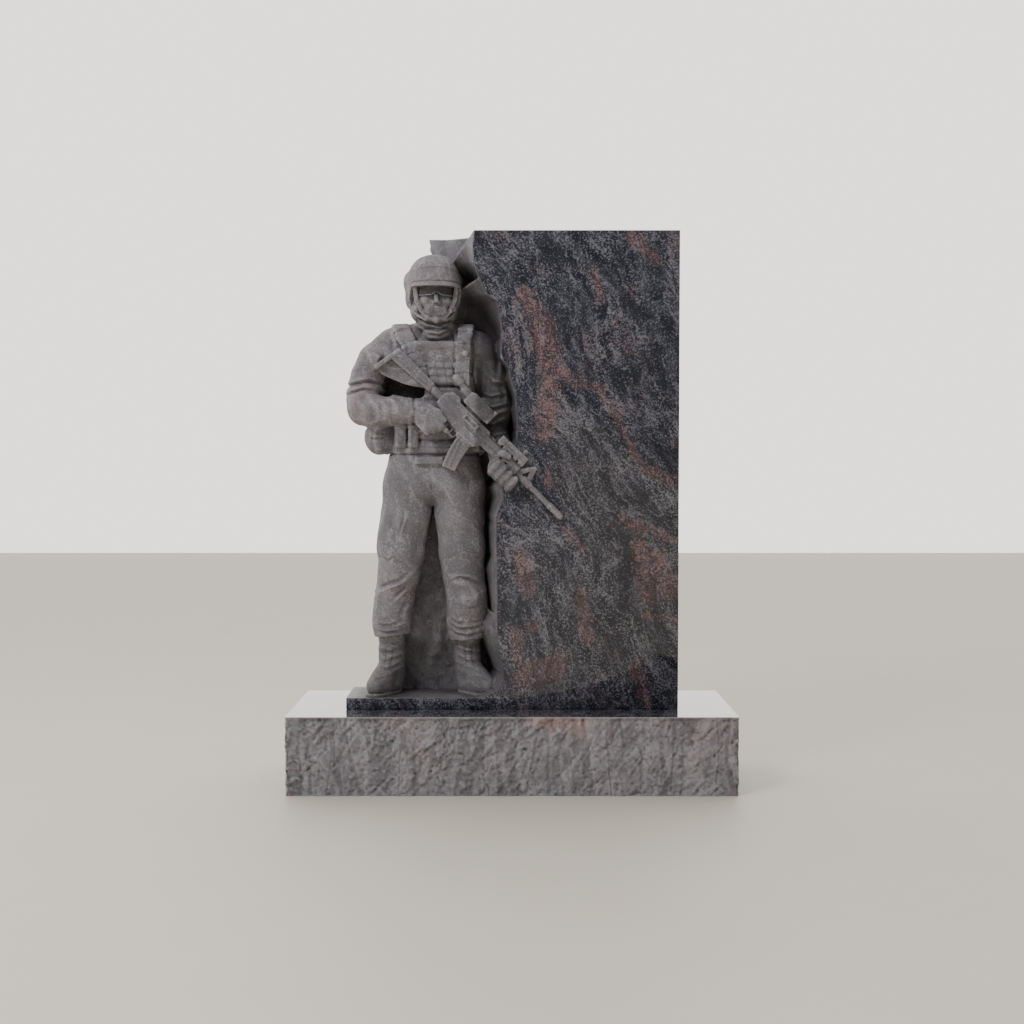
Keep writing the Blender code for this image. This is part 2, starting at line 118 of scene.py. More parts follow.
def ramp(tree, low, high, value):
    """0 below low, 1 above high, smooth between them."""
    made = add_node(tree, "ShaderNodeMapRange", {"Value": value, "From Min": low, "From Max": high},
                    interpolation_type="SMOOTHSTEP")
    return made.outputs["Result"]


def mixed(tree, factor, first, second):
    """Two colours mixed by a factor."""
    made = add_node(tree, "ShaderNodeMix", data_type="RGBA")
    for socket, value in zip((made.inputs[0], made.inputs[6], made.inputs[7]), (factor, first, second)):
        if isinstance(value, bpy.types.NodeSocket):
            tree.links.new(value, socket)
        else:
            socket.default_value = value
    return made.outputs[2]


def grainy(tree, place, scale, detail, **more):
    """A noise over the surface, 0 to 1."""
    given = {"Vector": place, "Scale": scale, "Detail": detail, **more}
    return add_node(tree, "ShaderNodeTexNoise", given).outputs["Fac"]


def wandering(tree, place, scale, detail, reach):
    """How far noise moves a place: at most half the reach each way."""
    texture = add_node(tree, "ShaderNodeTexNoise", {"Vector": place, "Scale": scale, "Detail": detail})
    off = vector_maths(tree, "SUBTRACT", texture.outputs["Color"], (0.5, 0.5, 0.5))
    return vector_maths(tree, "SCALE", off, reach)


def new_group(name, kind, inputs, outputs):
    """An empty node group. inputs are (name, socket type, default), outputs are (name, socket type)."""
    group = bpy.data.node_groups.new(name, kind)
    for label, socket_type, default in inputs:
        socket = group.interface.new_socket(label, in_out="INPUT", socket_type=socket_type)
        if default is not None:
            socket.default_value = default
    for label, socket_type in outputs:
        group.interface.new_socket(label, in_out="OUTPUT", socket_type=socket_type)
    return group, group.nodes.new("NodeGroupInput").outputs, group.nodes.new("NodeGroupOutput").inputs


# How far the stone's flow swirls and eddies, in metres, and how much of that the single grains follow
SWIRL_REACH, EDDY_REACH = 0.34, 0.030
GRAIN_FLOW_SHARE = 0.22


def granite_figure():
    """What the quarry put into the stone: pale grains in a dark ground, crowded into streaks and clouds
    along a flow that swirls, and rose feldspar in patches."""
    tree, given, out = new_group(
        "granite_figure", "ShaderNodeTree",
        [("Grain", "NodeSocketFloat", 0.003), ("Stretch", "NodeSocketFloat", 1.5),
         ("Slant", "NodeSocketFloat", 0.5)],
        [("Grains", "NodeSocketFloat"), ("Bands", "NodeSocketFloat"), ("Clouds", "NodeSocketFloat"),
         ("Streaks", "NodeSocketFloat"), ("Rose", "NodeSocketFloat"), ("Speckle", "NodeSocketFloat"),
         ("Crystals", "NodeSocketFloat"), ("Gaps", "NodeSocketFloat")])
    place = add_node(tree, "ShaderNodeTexCoord").outputs["Object"]
    flow = vector_maths(tree, "ADD", place, wandering(tree, place, 2.3, 1.0, SWIRL_REACH))
    flow = vector_maths(tree, "ADD", flow, wandering(tree, place, 15.0, 2.0, EDDY_REACH))
    turned = add_node(tree, "ShaderNodeVectorRotate", {"Vector": flow, "Angle": given["Slant"]},
                      rotation_type="Y_AXIS").outputs[0]
    parts = add_node(tree, "ShaderNodeSeparateXYZ", {0: turned}).outputs

    def drawn_out(times):
        """The flow stretched along its own direction."""
        height = maths(tree, "DIVIDE", parts[2], maths(tree, "MULTIPLY", given["Stretch"], times))
        return add_node(tree, "ShaderNodeCombineXYZ", {0: parts[0], 1: parts[1], 2: height}).outputs[0]

    calm = vector_maths(tree, "SCALE", vector_maths(tree, "SUBTRACT", flow, place), GRAIN_FLOW_SHARE)
    calm = vector_maths(tree, "ADD", place, calm)

    bands = ramp(tree, 0.30, 0.72, grainy(tree, drawn_out(3.2), 46.0, 3.0, Roughness=0.6))
    clouds = ramp(tree, 0.30, 0.70, grainy(tree, drawn_out(1.5), 13.0, 3.0, Roughness=0.6))
    scale = maths(tree, "DIVIDE", 0.60, given["Grain"])
    grain = grainy(tree, calm, scale, 3.0, Roughness=0.62)
    crowd = maths(tree, "MULTIPLY_ADD", bands, 0.10, maths(tree, "MULTIPLY_ADD", clouds, 0.06, -0.085))
    grain = maths(tree, "ADD", grain, crowd)
    course = grainy(tree, drawn_out(1.7), 16.0, 4.0, Roughness=0.55)
    line = ramp(tree, 0.034, 0.008, maths(tree, "ABSOLUTE", maths(tree, "SUBTRACT", course, 0.5)))
    line = maths(tree, "MULTIPLY", line, ramp(tree, 0.36, 0.56, grain))
    patch = grainy(tree, drawn_out(1.4), 7.5, 4.0, Roughness=0.62)
    crumbs = grainy(tree, calm, maths(tree, "MULTIPLY", scale, 0.6), 2.0)
    rose = maths(tree, "MULTIPLY", ramp(tree, 0.48, 0.72, patch), ramp(tree, 0.42, 0.64, crumbs))
    speckle = ramp(tree, 0.28, 0.56, grainy(tree, place, maths(tree, "MULTIPLY", scale, 2.2), 2.0))
    cells = add_node(tree, "ShaderNodeTexVoronoi", {"Vector": flow, "Scale": 170.0}).outputs["Color"]
    crystals = add_node(tree, "ShaderNodeSeparateXYZ", {0: cells}).outputs[0]
    gaps = ramp(tree, 0.26, 0.54, grainy(tree, flow, 60.0, 3.0))
    for name, socket in (("Grains", ramp(tree, 0.47, 0.62, grain)), ("Bands", bands), ("Clouds", clouds),
                         ("Streaks", line), ("Rose", rose), ("Speckle", speckle), ("Crystals", crystals),
                         ("Gaps", gaps)):
        tree.links.new(socket, out[name])
    return tree


FIGURE = granite_figure()


def stone_material(name):
    made = bpy.data.materials.new(name)
    made.use_nodes = True
    tree = made.node_tree
    shader = tree.nodes["Principled BSDF"]
    shader.inputs["Metallic"].default_value = 0.0
    return made, tree, shader


def figured(tree, grain, stretch=1.5, slant=0.5):
    """The granite's figure placed in a material."""
    return add_node(tree, "ShaderNodeGroup", {"Grain": grain, "Stretch": stretch, "Slant": slant},
                    node_tree=FIGURE).outputs


def rose_vein():
    """One streak of rose feldspar between two points, with a ragged outline. It runs through the stone
    from front to back, so depth doesn't count."""
    tree, given, out = new_group(
        "rose_vein", "ShaderNodeTree",
        [("Place", "NodeSocketVector", None), ("Start", "NodeSocketVector", None),
         ("End", "NodeSocketVector", None), ("Half Width", "NodeSocketFloat", 0.01),
         ("Before", "NodeSocketFloat", 0.0)],
        [("Mask", "NodeSocketFloat")])
    run = vector_maths(tree, "SUBTRACT", given["End"], given["Start"])
    reach = vector_maths(tree, "SUBTRACT", given["Place"], given["Start"])
    along = maths(tree, "DIVIDE", vector_maths(tree, "DOT_PRODUCT", reach, run),
                  vector_maths(tree, "DOT_PRODUCT", run, run), clamp=True)
    nearest = vector_maths(tree, "SCALE", run, along)
    away = vector_maths(tree, "DISTANCE", reach, nearest)
    share = maths(tree, "DIVIDE", away, given["Half Width"])
    mask = add_node(tree, "ShaderNodeMapRange", {
        "Value": share, "From Min": 1.25, "From Max": 0.35}, interpolation_type="SMOOTHSTEP").outputs[0]
    tree.links.new(maths(tree, "MAXIMUM", mask, given["Before"]), out["Mask"])
    return tree


VEIN = rose_vein()


def pitched_granite():
    """Broken rock: paler and duller than the polish, with rose areas, a painted highlight on the crests,
    painted shade in the furrows, and dark and light upright streaks painted for the shading of folds.
    """
    made, tree, shader = stone_material("pitched_granite")
    figure = figured(tree, 0.0045, 1.2)
    ground = mixed(tree, figure["Clouds"], (0.180, 0.174, 0.198, 1), (0.282, 0.271, 0.302, 1))
    ground = mixed(tree, maths(tree, "MULTIPLY", figure["Grains"], 0.40), ground, (0.380, 0.362, 0.374, 1))
    ground = mixed(tree, maths(tree, "MULTIPLY", figure["Rose"], 0.50), ground, (0.340, 0.240, 0.228, 1))
    place = add_node(tree, "ShaderNodeTexCoord").outputs["Object"]
    flat = vector_maths(tree, "ADD", place, wandering(tree, place, 16.0, 4.0, 0.080))
    flat = vector_maths(tree, "MULTIPLY", flat, (1.0, 0.0, 1.0))
    patch = add_node(tree, "ShaderNodeGroup", {
        "Place": flat, "Start": (0.075, 0, 0.200), "End": (0.190, 0, 0.185), "Half Width": 0.026,
        "Before": 0.0}, node_tree=VEIN).outputs["Mask"]
    ground = mixed(tree, maths(tree, "MULTIPLY", patch, 0.80), ground, (0.420, 0.300, 0.282, 1))
    # Painted shade and painted highlight: dark upright streaks with lighter ones beside them, for the
    # shading of folds
    upright = vector_maths(tree, "MULTIPLY", place, (1.0, 1.0, 0.16))
    course = grainy(tree, upright, 15.0, 1.5, Distortion=0.5)
    band = ramp(tree, 0.050, 0.018, maths(tree, "ABSOLUTE", maths(tree, "SUBTRACT", course, 0.50)))
    ground = mixed(tree, maths(tree, "MULTIPLY", band, 0.42), ground, (0.090, 0.085, 0.096, 1))
    band = ramp(tree, 0.034, 0.010, maths(tree, "ABSOLUTE", maths(tree, "SUBTRACT", course, 0.575)))
    ground = mixed(tree, maths(tree, "MULTIPLY", band, 0.30), ground, (0.400, 0.385, 0.402, 1))
    # Painted highlight on the crests and painted shade in the furrows
    crest = add_node(tree, "ShaderNodeNewGeometry").outputs["Pointiness"]
    ground = mixed(tree, maths(tree, "MULTIPLY", ramp(tree, 0.505, 0.560, crest), 0.6), ground,
                   (0.440, 0.422, 0.440, 1))
    ground = mixed(tree, maths(tree, "MULTIPLY", ramp(tree, 0.495, 0.440, crest), 0.70), ground,
                   (0.050, 0.047, 0.051, 1))
    tree.links.new(ground, shader.inputs["Base Color"])
    shader.inputs["Roughness"].default_value = 0.60
    chips = grainy(tree, place, 95.0, 4.0, Roughness=0.6)
    pits = grainy(tree, place, 240.0, 4.0)
    height = maths(tree, "MULTIPLY_ADD", chips, 0.9, maths(tree, "MULTIPLY", pits, 0.7))
    bump = add_node(tree, "ShaderNodeBump", {"Height": height, "Strength": 0.9, "Distance": 0.0032})
    tree.links.new(bump.outputs[0], shader.inputs["Normal"])
    return made


ROSE_VEINS = [
    # start (x, z), end (x, z), half width: the long vein that bends down to the right, then single patches
    ((0.105, 1.142), (0.170, 1.094), 0.020), ((0.170, 1.094), (0.236, 1.078), 0.016),
    ((0.236, 1.078), (0.266, 1.038), 0.015), ((0.266, 1.038), (0.298, 0.975), 0.014),
    ((0.298, 0.975), (0.323, 0.915), 0.015), ((0.323, 0.915), (0.366, 0.862), 0.020),
    ((0.366, 0.862), (0.440, 0.824), 0.017), ((0.092, 0.846), (0.099, 0.826), 0.020),
    ((0.345, 0.650), (0.362, 0.560), 0.030), ((0.362, 0.560), (0.372, 0.500), 0.022),
    ((0.385, 0.622), (0.432, 0.530), 0.034), ((0.360, 0.467), (0.440, 0.452), 0.012),
    ((0.021, 0.620), (0.045, 0.540), 0.026), ((0.040, 0.300), (0.120, 0.330), 0.042),
    ((0.330, 0.330), (0.362, 0.240), 0.022), ((0.030, 1.330), (0.095, 1.225), 0.030),
    ((0.075, 1.260), (0.105, 1.130), 0.044), ((0.110, 1.120), (0.085, 0.960), 0.034),
    ((0.221, 1.392), (0.236, 1.318), 0.014),
    ((0.320, 1.490), (0.385, 1.420), 0.018), ((0.135, 0.700), (0.200, 0.640), 0.009),
    ((0.300, 0.728), (0.430, 0.668), 0.015), ((0.048, 0.438), (0.062, 0.430), 0.015),
    ((0.190, 0.520), (0.205, 0.400), 0.022), ((0.010, 0.420), (0.020, 0.330), 0.018),
]


# The veins keep their places on the polished face, this far in front of the middle, and slant behind it
FACE_DEPTH = 0.09
VEIN_SLANT = (0.5, 0.0, -0.6)


def polished_granite(veins):
    """Mirror polish: blue-black ground, grey-beige grains, rose veins, and only the coat's own gloss."""
    made, tree, shader = stone_material("polished_granite" if veins else "polished_granite_top")
    figure = figured(tree, 0.0028)
    ground = mixed(tree, figure["Bands"], (0.006, 0.008, 0.018, 1), (0.035, 0.039, 0.056, 1))
    tone = maths(tree, "MULTIPLY", figure["Crystals"], 0.55)
    tone = maths(tree, "MULTIPLY_ADD", figure["Clouds"], 0.45, tone)
    pale = mixed(tree, tone, (0.076, 0.084, 0.112, 1), (0.270, 0.266, 0.300, 1))
    rose = maths(tree, "MULTIPLY", figure["Rose"], 0.75)
    if veins:
        place = add_node(tree, "ShaderNodeTexCoord").outputs["Object"]
        shift = wandering(tree, place, 34.0, 4.0, 0.048)
        depth = add_node(tree, "ShaderNodeSeparateXYZ", {0: place}).outputs[1]
        depth = maths(tree, "ADD", depth, FACE_DEPTH)
        place = vector_maths(tree, "ADD", place, shift)
        place = vector_maths(tree, "ADD", place, vector_maths(tree, "SCALE", VEIN_SLANT, depth))
        place = vector_maths(tree, "MULTIPLY", place, (1.0, 0.0, 1.0))
        mask = 0.0
        for (x0, z0), (x1, z1), half_width in ROSE_VEINS:
            mask = add_node(tree, "ShaderNodeGroup", {
                "Place": place, "Start": (x0, 0, z0), "End": (x1, 0, z1), "Half Width": half_width,
                "Before": mask}, node_tree=VEIN).outputs["Mask"]
        mask = maths(tree, "MULTIPLY", mask, figure["Gaps"])
        dusted = ramp(tree, 0.32, 0.54, grainy(tree, place, 250.0, 2.0))
        mask = maths(tree, "MULTIPLY", mask, dusted)
        rose = maths(tree, "MAXIMUM", rose, mask)
    pale = mixed(tree, maths(tree, "MULTIPLY", rose, 0.88), pale, (0.330, 0.165, 0.165, 1))
    ground = mixed(tree, maths(tree, "MULTIPLY", rose, 0.45), ground, (0.070, 0.042, 0.043, 1))
    shown = maths(tree, "MULTIPLY_ADD", rose, 0.24, figure["Grains"], clamp=True)
    shown = maths(tree, "MAXIMUM", maths(tree, "MULTIPLY", shown, figure["Speckle"]),
                  maths(tree, "MULTIPLY", figure["Streaks"], 0.85))
    tree.links.new(mixed(tree, shown, ground, pale), shader.inputs["Base Color"])
    gloss = maths(tree, "MULTIPLY_ADD", figure["Speckle"], 0.03, 0.045 if veins else 0.06)
    tree.links.new(gloss, shader.inputs["Roughness"])
    shader.inputs["IOR"].default_value = 1.54
    if not veins:
        shader.inputs["Coat Weight"].default_value = 1.0
        shader.inputs["Coat Roughness"].default_value = 0.04
    return made


PITCHED = pitched_granite()
POLISHED = polished_granite(veins=True)
POLISHED_TOP = polished_granite(veins=False)


def pitched_block():
    """Geometry tree: a block whose four sides are pitched back from their outline and whose top is flat.
    It starts as a tube of points and each is moved to its place round the rectangle."""
    tree, given, out = new_group(
        "pitched_block", "GeometryNodeTree",
        [("Width", "NodeSocketFloat", 1.0), ("Depth", "NodeSocketFloat", 1.0),
         ("Height", "NodeSocketFloat", 1.0), ("Points Wide", "NodeSocketInt", 390),
         ("Points Deep", "NodeSocketInt", 130), ("Rows", "NodeSocketInt", 68),
         ("Pitch Depth", "NodeSocketFloat", 0.01), ("Wrinkle", "NodeSocketFloat", 0.03),
         ("Arris Wave", "NodeSocketFloat", 0.002), ("Seed", "NodeSocketFloat", 4.0),
         ("Rock", "NodeSocketMaterial", None), ("Polish", "NodeSocketMaterial", None)],
        [("Geometry", "NodeSocketGeometry")])
    wide, deep = given["Points Wide"], given["Points Deep"]
    round_count = maths(tree, "MULTIPLY", maths(tree, "ADD", wide, deep), 2.0)
    tube = add_node(tree, "GeometryNodeMeshCylinder", {
        "Vertices": round_count, "Side Segments": given["Rows"], "Radius": 1.0, "Depth": 1.0},
        fill_type="NGON").outputs["Mesh"]
    index = add_node(tree, "GeometryNodeInputIndex").outputs[0]
    station = maths(tree, "MODULO", index, round_count)

    def leg(first, count):
        """0 to 1 along one side of the rectangle."""
        return maths(tree, "DIVIDE", maths(tree, "SUBTRACT", station, first), count, clamp=True)

    both = maths(tree, "ADD", wide, deep)
    along = [leg(0.0, wide), leg(wide, deep), leg(both, wide), leg(maths(tree, "ADD", both, wide), deep)]
    across = maths(tree, "SUBTRACT", maths(tree, "SUBTRACT", along[0], along[2]), 0.5)
    back = maths(tree, "SUBTRACT", maths(tree, "SUBTRACT", along[1], along[3]), 0.5)
    x, y = maths(tree, "MULTIPLY", across, given["Width"]), maths(tree, "MULTIPLY", back, given["Depth"])
    height = add_node(tree, "ShaderNodeSeparateXYZ", {
        0: add_node(tree, "GeometryNodeInputPosition").outputs[0]}).outputs[2]
    level = maths(tree, "ADD", height, 0.5)
    place = add_node(tree, "ShaderNodeCombineXYZ", {
        0: x, 1: y, 2: maths(tree, "MULTIPLY", level, given["Height"])}).outputs[0]
    per_wrinkle = maths(tree, "DIVIDE", 1.0, given["Wrinkle"])

    tilted = add_node(tree, "ShaderNodeVectorRotate", {"Vector": place, "Angle": -0.7},
                      rotation_type="Y_AXIS").outputs[0]

    def rough(times, detail, seed, distortion=0.0, stretch=(1.0, 1.0, 1.0), where=place):
        texture = add_node(tree, "ShaderNodeTexNoise", {
            "Vector": vector_maths(tree, "MULTIPLY", where, stretch),
            "W": maths(tree, "ADD", given["Seed"], seed), "Detail": detail, "Distortion": distortion,
            "Scale": maths(tree, "MULTIPLY", per_wrinkle, times)}, noise_dimensions="4D")
        return texture.outputs["Fac"]

    def furrow(value, width):
        """1 in the line where the value crosses a half, 0 beside it."""
        away = maths(tree, "ABSOLUTE", maths(tree, "SUBTRACT", value, 0.5))
        return ramp(tree, width, 0.0, away)

    broad = ramp(tree, 0.28, 0.72, rough(0.20, 2.0, 0.0, 0.4))
    bark = ramp(tree, 0.40, 0.60, rough(0.70, 4.0, 12.0, 1.0, (1.0, 1.0, 0.42), tilted))
    wrinkles = furrow(rough(0.50, 3.0, 7.0, 1.0, (1.0, 1.0, 0.55), tilted), 0.045)
    crumple = ramp(tree, 0.32, 0.68, rough(1.3, 5.0, 9.0, 0.6))
    grooves = ramp(tree, 0.40, 0.62, rough(0.42, 1.0, 15.0, 0.3, (1.0, 1.0, 0.10)))
    hollow = maths(tree, "MULTIPLY", broad, 0.12)
    for form, share in ((bark, 0.32), (wrinkles, 0.15), (crumple, 0.28), (grooves, 0.20)):
        hollow = maths(tree, "MULTIPLY_ADD", form, share, hollow)
    upper = maths(tree, "MULTIPLY", ramp(tree, 0.90, 1.0, maths(tree, "MULTIPLY", height, 2.0)), 0.92)
    lower = maths(tree, "MULTIPLY", ramp(tree, 0.95, 1.0, maths(tree, "MULTIPLY", height, -2.0)), 0.30)
    rim = maths(tree, "MAXIMUM", upper, lower)
    hollow = maths(tree, "MULTIPLY", maths(tree, "MINIMUM", hollow, 1.0), given["Pitch Depth"])
    wave = maths(tree, "MULTIPLY", rough(0.9, 3.0, 11.0), given["Arris Wave"])
    inward = maths(tree, "ADD", maths(tree, "MULTIPLY", hollow, maths(tree, "SUBTRACT", 1.0, rim)),
                   maths(tree, "MULTIPLY", wave, rim))

    def pushed(share, part):
        """A point of a side, moved towards the middle."""
        outside = maths(tree, "GREATER_THAN", maths(tree, "ABSOLUTE", share), 0.49999)
        step = maths(tree, "MULTIPLY", maths(tree, "MULTIPLY", outside, inward), maths(tree, "SIGN", share))
        return maths(tree, "SUBTRACT", part, step)

    carved = add_node(tree, "ShaderNodeCombineXYZ", {
        0: pushed(across, x), 1: pushed(back, y), 2: maths(tree, "MULTIPLY", level, given["Height"])})
    moved = add_node(tree, "GeometryNodeSetPosition", {
        "Geometry": tube, "Position": carved.outputs[0]}).outputs[0]
    rocky = add_node(tree, "GeometryNodeSetMaterial", {
        "Geometry": moved, "Material": given["Rock"]}).outputs[0]
    normal = add_node(tree, "GeometryNodeInputNormal").outputs[0]
    upward = add_node(tree, "ShaderNodeSeparateXYZ", {0: normal}).outputs[2]
    is_top = add_node(tree, "FunctionNodeCompare", {0: upward, 1: 0.95}, operation="GREATER_THAN").outputs[0]
    topped = add_node(tree, "GeometryNodeSetMaterial", {
        "Geometry": rocky, "Selection": is_top, "Material": given["Polish"]}).outputs[0]
    level_face = add_node(tree, "FunctionNodeCompare", {
        0: maths(tree, "ABSOLUTE", upward), 1: 0.95}, operation="LESS_THAN").outputs[0]
    smooth = add_node(tree, "GeometryNodeSetShadeSmooth", {
        "Geometry": topped, "Shade Smooth": level_face}).outputs[0]
    real = add_node(tree, "GeometryNodeRealizeInstances", {"Geometry": smooth}).outputs[0]
    last = add_node(tree, "GeometryNodeSetMaterial", {
        "Geometry": real, "Selection": is_top, "Material": given["Polish"]}).outputs[0]
    tree.links.new(last, out["Geometry"])
    return tree


def from_tree(name, tree, values):
    """Runs a geometry tree with these inputs and keeps the result as a plain mesh object."""
    carrier = bpy.data.objects.new(name + "_carrier", bpy.data.meshes.new(name + "_carrier"))
    bpy.context.scene.collection.objects.link(carrier)
    modifier = carrier.modifiers.new(name, "NODES")
    modifier.node_group = tree
    for item in tree.interface.items_tree:
        if item.in_out == "INPUT" and item.name in values:
            modifier[item.identifier] = values[item.name]
    carrier.update_tag()
    evaluated = carrier.evaluated_get(bpy.context.evaluated_depsgraph_get())
    mesh = bpy.data.meshes.new_from_object(evaluated)
    mesh.name = name
    bpy.data.objects.remove(carrier)
    made = bpy.data.objects.new(name, mesh)
    bpy.context.scene.collection.objects.link(made)
    return made


rock_base = from_tree("rock_pitched_base", pitched_block(), {
    "Width": BASE_WIDTH, "Depth": BASE_DEPTH, "Height": BASE_HEIGHT, "Pitch Depth": PITCH_DEPTH,
    "Wrinkle": WRINKLE, "Arris Wave": ARRIS_WAVE, "Seed": 4.0, "Rock": PITCHED, "Polish": POLISHED_TOP})
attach(rock_base, "root")
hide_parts("base")


# Die: one upright slab, sawn and polished on its front, back, top and right side. The left part of its
# front is cut away to a deep niche, and a low step is left standing in front of it. Set on the base.
DIE_WIDTH, DIE_THICKNESS, DIE_HEIGHT = 0.900, 0.180, 1.290
DIE_BOTTOM = BASE_HEIGHT + 0.0003
DIE_TOP = DIE_BOTTOM + DIE_HEIGHT
STEP_HEIGHT = 0.030
BACK_WALL = 0.030
MITRE = 0.0012
CLEAR = 0.05

# The polished face's carved edge is chipped back a little, in millimetres and metres deep
ARRIS_CHIP = 1.9
ARRIS_DEPTH = 0.0014

# The carving is measured in millimetres from the middle of the soldier's stance on the step: x to the
# right, y to the back, z up.
FIGURE_PLACE = Vector((-0.215, 0.0, DIE_BOTTOM + STEP_HEIGHT))
MILLIMETRE = 0.001
TO_STONE = Matrix.Translation(FIGURE_PLACE) @ Matrix.Scale(MILLIMETRE, 4)

# Cut edge of the polished face, and the left outline of the rock behind the figure, from the top down
NICHE_EDGE = [
    (114, 1262), (109, 1215), (111, 1178), (127, 1133), (147, 1091), (174, 1071), (180, 1050),
    (187, 1002), (187, 919), (207, 891), (213, 858), (224, 818), (230, 756), (230, 699), (210, 632),
    (188, 570), (191, 541), (172, 498), (172, 411), (174, 362), (174, 178), (181, 121), (191, 77),
    (193, 57), (181, 21), (130, 0),
]
ROCK_EDGE = [
    (-16, 1262), (-12, 1222), (-32, 1150), (-34, 1058), (-42, 1016), (-84, 978), (-104, 900), (-96, 780),
    (-84, 680), (-92, 560), (-104, 440), (-96, 320), (-112, 200), (-104, 90), (-122, 0),
]


def chipped(outline, spacing, wander, seed):
    """The outline with points every few millimetres, each a little off the line, as a chisel leaves it."""
    points = []
    for (x0, z0), (x1, z1) in zip(outline, outline[1:]):
        count = max(1, round(math.hypot(x1 - x0, z1 - z0) / spacing))
        for step in range(count):
            x, z = x0 + (x1 - x0) * step / count, z0 + (z1 - z0) * step / count
            broad = noise.noise(Vector((x / 17, seed, z / 17)))
            fine = noise.noise(Vector((x / 6, seed, z / 6)))
            points.append((x + wander * (broad + 0.6 * fine), z))
    return points + [outline[-1]]


def extruded(outline, front, back, slot):
    """A solid from an outline in the front view, between two depths in metres."""
    form = bmesh.new()
    corners = [TO_STONE @ Vector((x, 0, z)) for x, z in outline]
    ring = [form.verts.new((corner.x, front, corner.z)) for corner in corners]
    face = form.faces.new(ring)
    grown = bmesh.ops.extrude_face_region(form, geom=[face])["geom"]
    for item in grown:
        if isinstance(item, bmesh.types.BMVert):
            item.co.y = back
    bmesh.ops.recalc_face_normals(form, faces=form.faces)
    for face in form.faces:
        face.material_index = slot
    mesh = bpy.data.meshes.new("cutter")
    form.to_mesh(mesh)
    form.free()
    made = bpy.data.objects.new("cutter", mesh)
    bpy.context.scene.collection.objects.link(made)
    return made


def combined(target, tool, operation):
    """One Boolean, applied. The tool is used up."""
    cut = target.modifiers.new("cut", "BOOLEAN")
    cut.operation = operation
    cut.solver = "MANIFOLD"
    cut.object = tool
    evaluated = target.evaluated_get(bpy.context.evaluated_depsgraph_get())
    mesh = bpy.data.meshes.new_from_object(evaluated)
    target.modifiers.remove(cut)
    old = target.data
    target.data = mesh
    bpy.data.meshes.remove(old)
    bpy.data.objects.remove(tool)


def carved_granite(name, dark, light, grain, edge, shadow_from, shadow_low):
    """The same stone off the chisel: no gloss, paler than the polish, its figure faint. Crests are lighter,
    partly from wear and partly as a painted highlight; dust and painted shade darken the creases. Painted
    shadow darkens the stone beside the polished face to the right of shadow_from: in full from the belt to
    the helmet, and by the share shadow_low under it. Painted shadow also lies over the scarf, and painted
    shade darkens the stone towards the foot."""
    made, tree, shader = stone_material(name)
    figure = figured(tree, 0.0030, 1.0)
    place = add_node(tree, "ShaderNodeTexCoord").outputs["Object"]
    blend = maths(tree, "MULTIPLY", figure["Speckle"], 0.40)
    blend = maths(tree, "MULTIPLY_ADD", figure["Clouds"], 0.60, blend)
    ground = mixed(tree, blend, (*dark, 1), (*light, 1))
    ground = mixed(tree, maths(tree, "MULTIPLY", figure["Grains"], 0.24), ground, (*grain, 1))
    ground = mixed(tree, maths(tree, "MULTIPLY", figure["Streaks"], 0.36), ground, (*grain, 1))
    ground = mixed(tree, maths(tree, "MULTIPLY", figure["Rose"], 0.62), ground, (0.300, 0.200, 0.190, 1))
    # Painted shadow over the scarf, under the chin
    flat = vector_maths(tree, "MULTIPLY", place, (1.0, 0.0, 1.0))
    scarf = add_node(tree, "ShaderNodeGroup", {
        "Place": flat, "Start": (-0.240, 0, 1.238), "End": (-0.182, 0, 1.232), "Half Width": 0.032,
        "Before": 0.0}, node_tree=VEIN).outputs["Mask"]
    ground = mixed(tree, maths(tree, "MULTIPLY", scarf, 0.50), ground, (0.040, 0.038, 0.041, 1))
    # Painted shade, deepening towards the foot of the carving: over the boots and the stone round them
    foot = add_node(tree, "ShaderNodeSeparateXYZ", {0: place}).outputs[2]
    shade = maths(tree, "MULTIPLY", ramp(tree, DIE_BOTTOM + 0.185, DIE_BOTTOM + 0.155, foot), 0.50)
    ground = mixed(tree, shade, ground, (0.065, 0.062, 0.066, 1))
    # Painted shadow beside the polished face: over the left arm and the rock to the right of the helmet
    across = add_node(tree, "ShaderNodeSeparateXYZ", {0: place}).outputs[0]
    level = maths(tree, "MULTIPLY_ADD", ramp(tree, 0.90, 0.96, foot), 1.0 - shadow_low, shadow_low)
    painted_shadow = maths(tree, "MULTIPLY", ramp(tree, shadow_from, shadow_from + 0.030, across),
                 maths(tree, "MULTIPLY", level, ramp(tree, 1.44, 1.38, foot)))
    ground = mixed(tree, maths(tree, "MULTIPLY", painted_shadow, 0.66), ground, (0.022, 0.021, 0.023, 1))
    # Crests lighter, partly from wear and partly as a painted highlight; creases darkened by dust and
    # painted shade
    point = add_node(tree, "ShaderNodeNewGeometry").outputs["Pointiness"]
    ground = mixed(tree, maths(tree, "MULTIPLY", ramp(tree, 0.505, 0.57, point), edge), ground,
                   (0.460, 0.440, 0.452, 1))
    ground = mixed(tree, maths(tree, "MULTIPLY", ramp(tree, 0.495, 0.42, point), 0.85), ground,
                   (0.020, 0.018, 0.020, 1))
    tree.links.new(ground, shader.inputs["Base Color"])
    shader.inputs["Roughness"].default_value = 0.66
    rasp = grainy(tree, place, 210.0, 3.0)
    height = maths(tree, "MULTIPLY_ADD", figure["Speckle"], 0.5, rasp)
    bump = add_node(tree, "ShaderNodeBump", {"Height": height, "Strength": 0.5, "Distance": 0.0012})
    tree.links.new(bump.outputs[0], shader.inputs["Normal"])
    return made


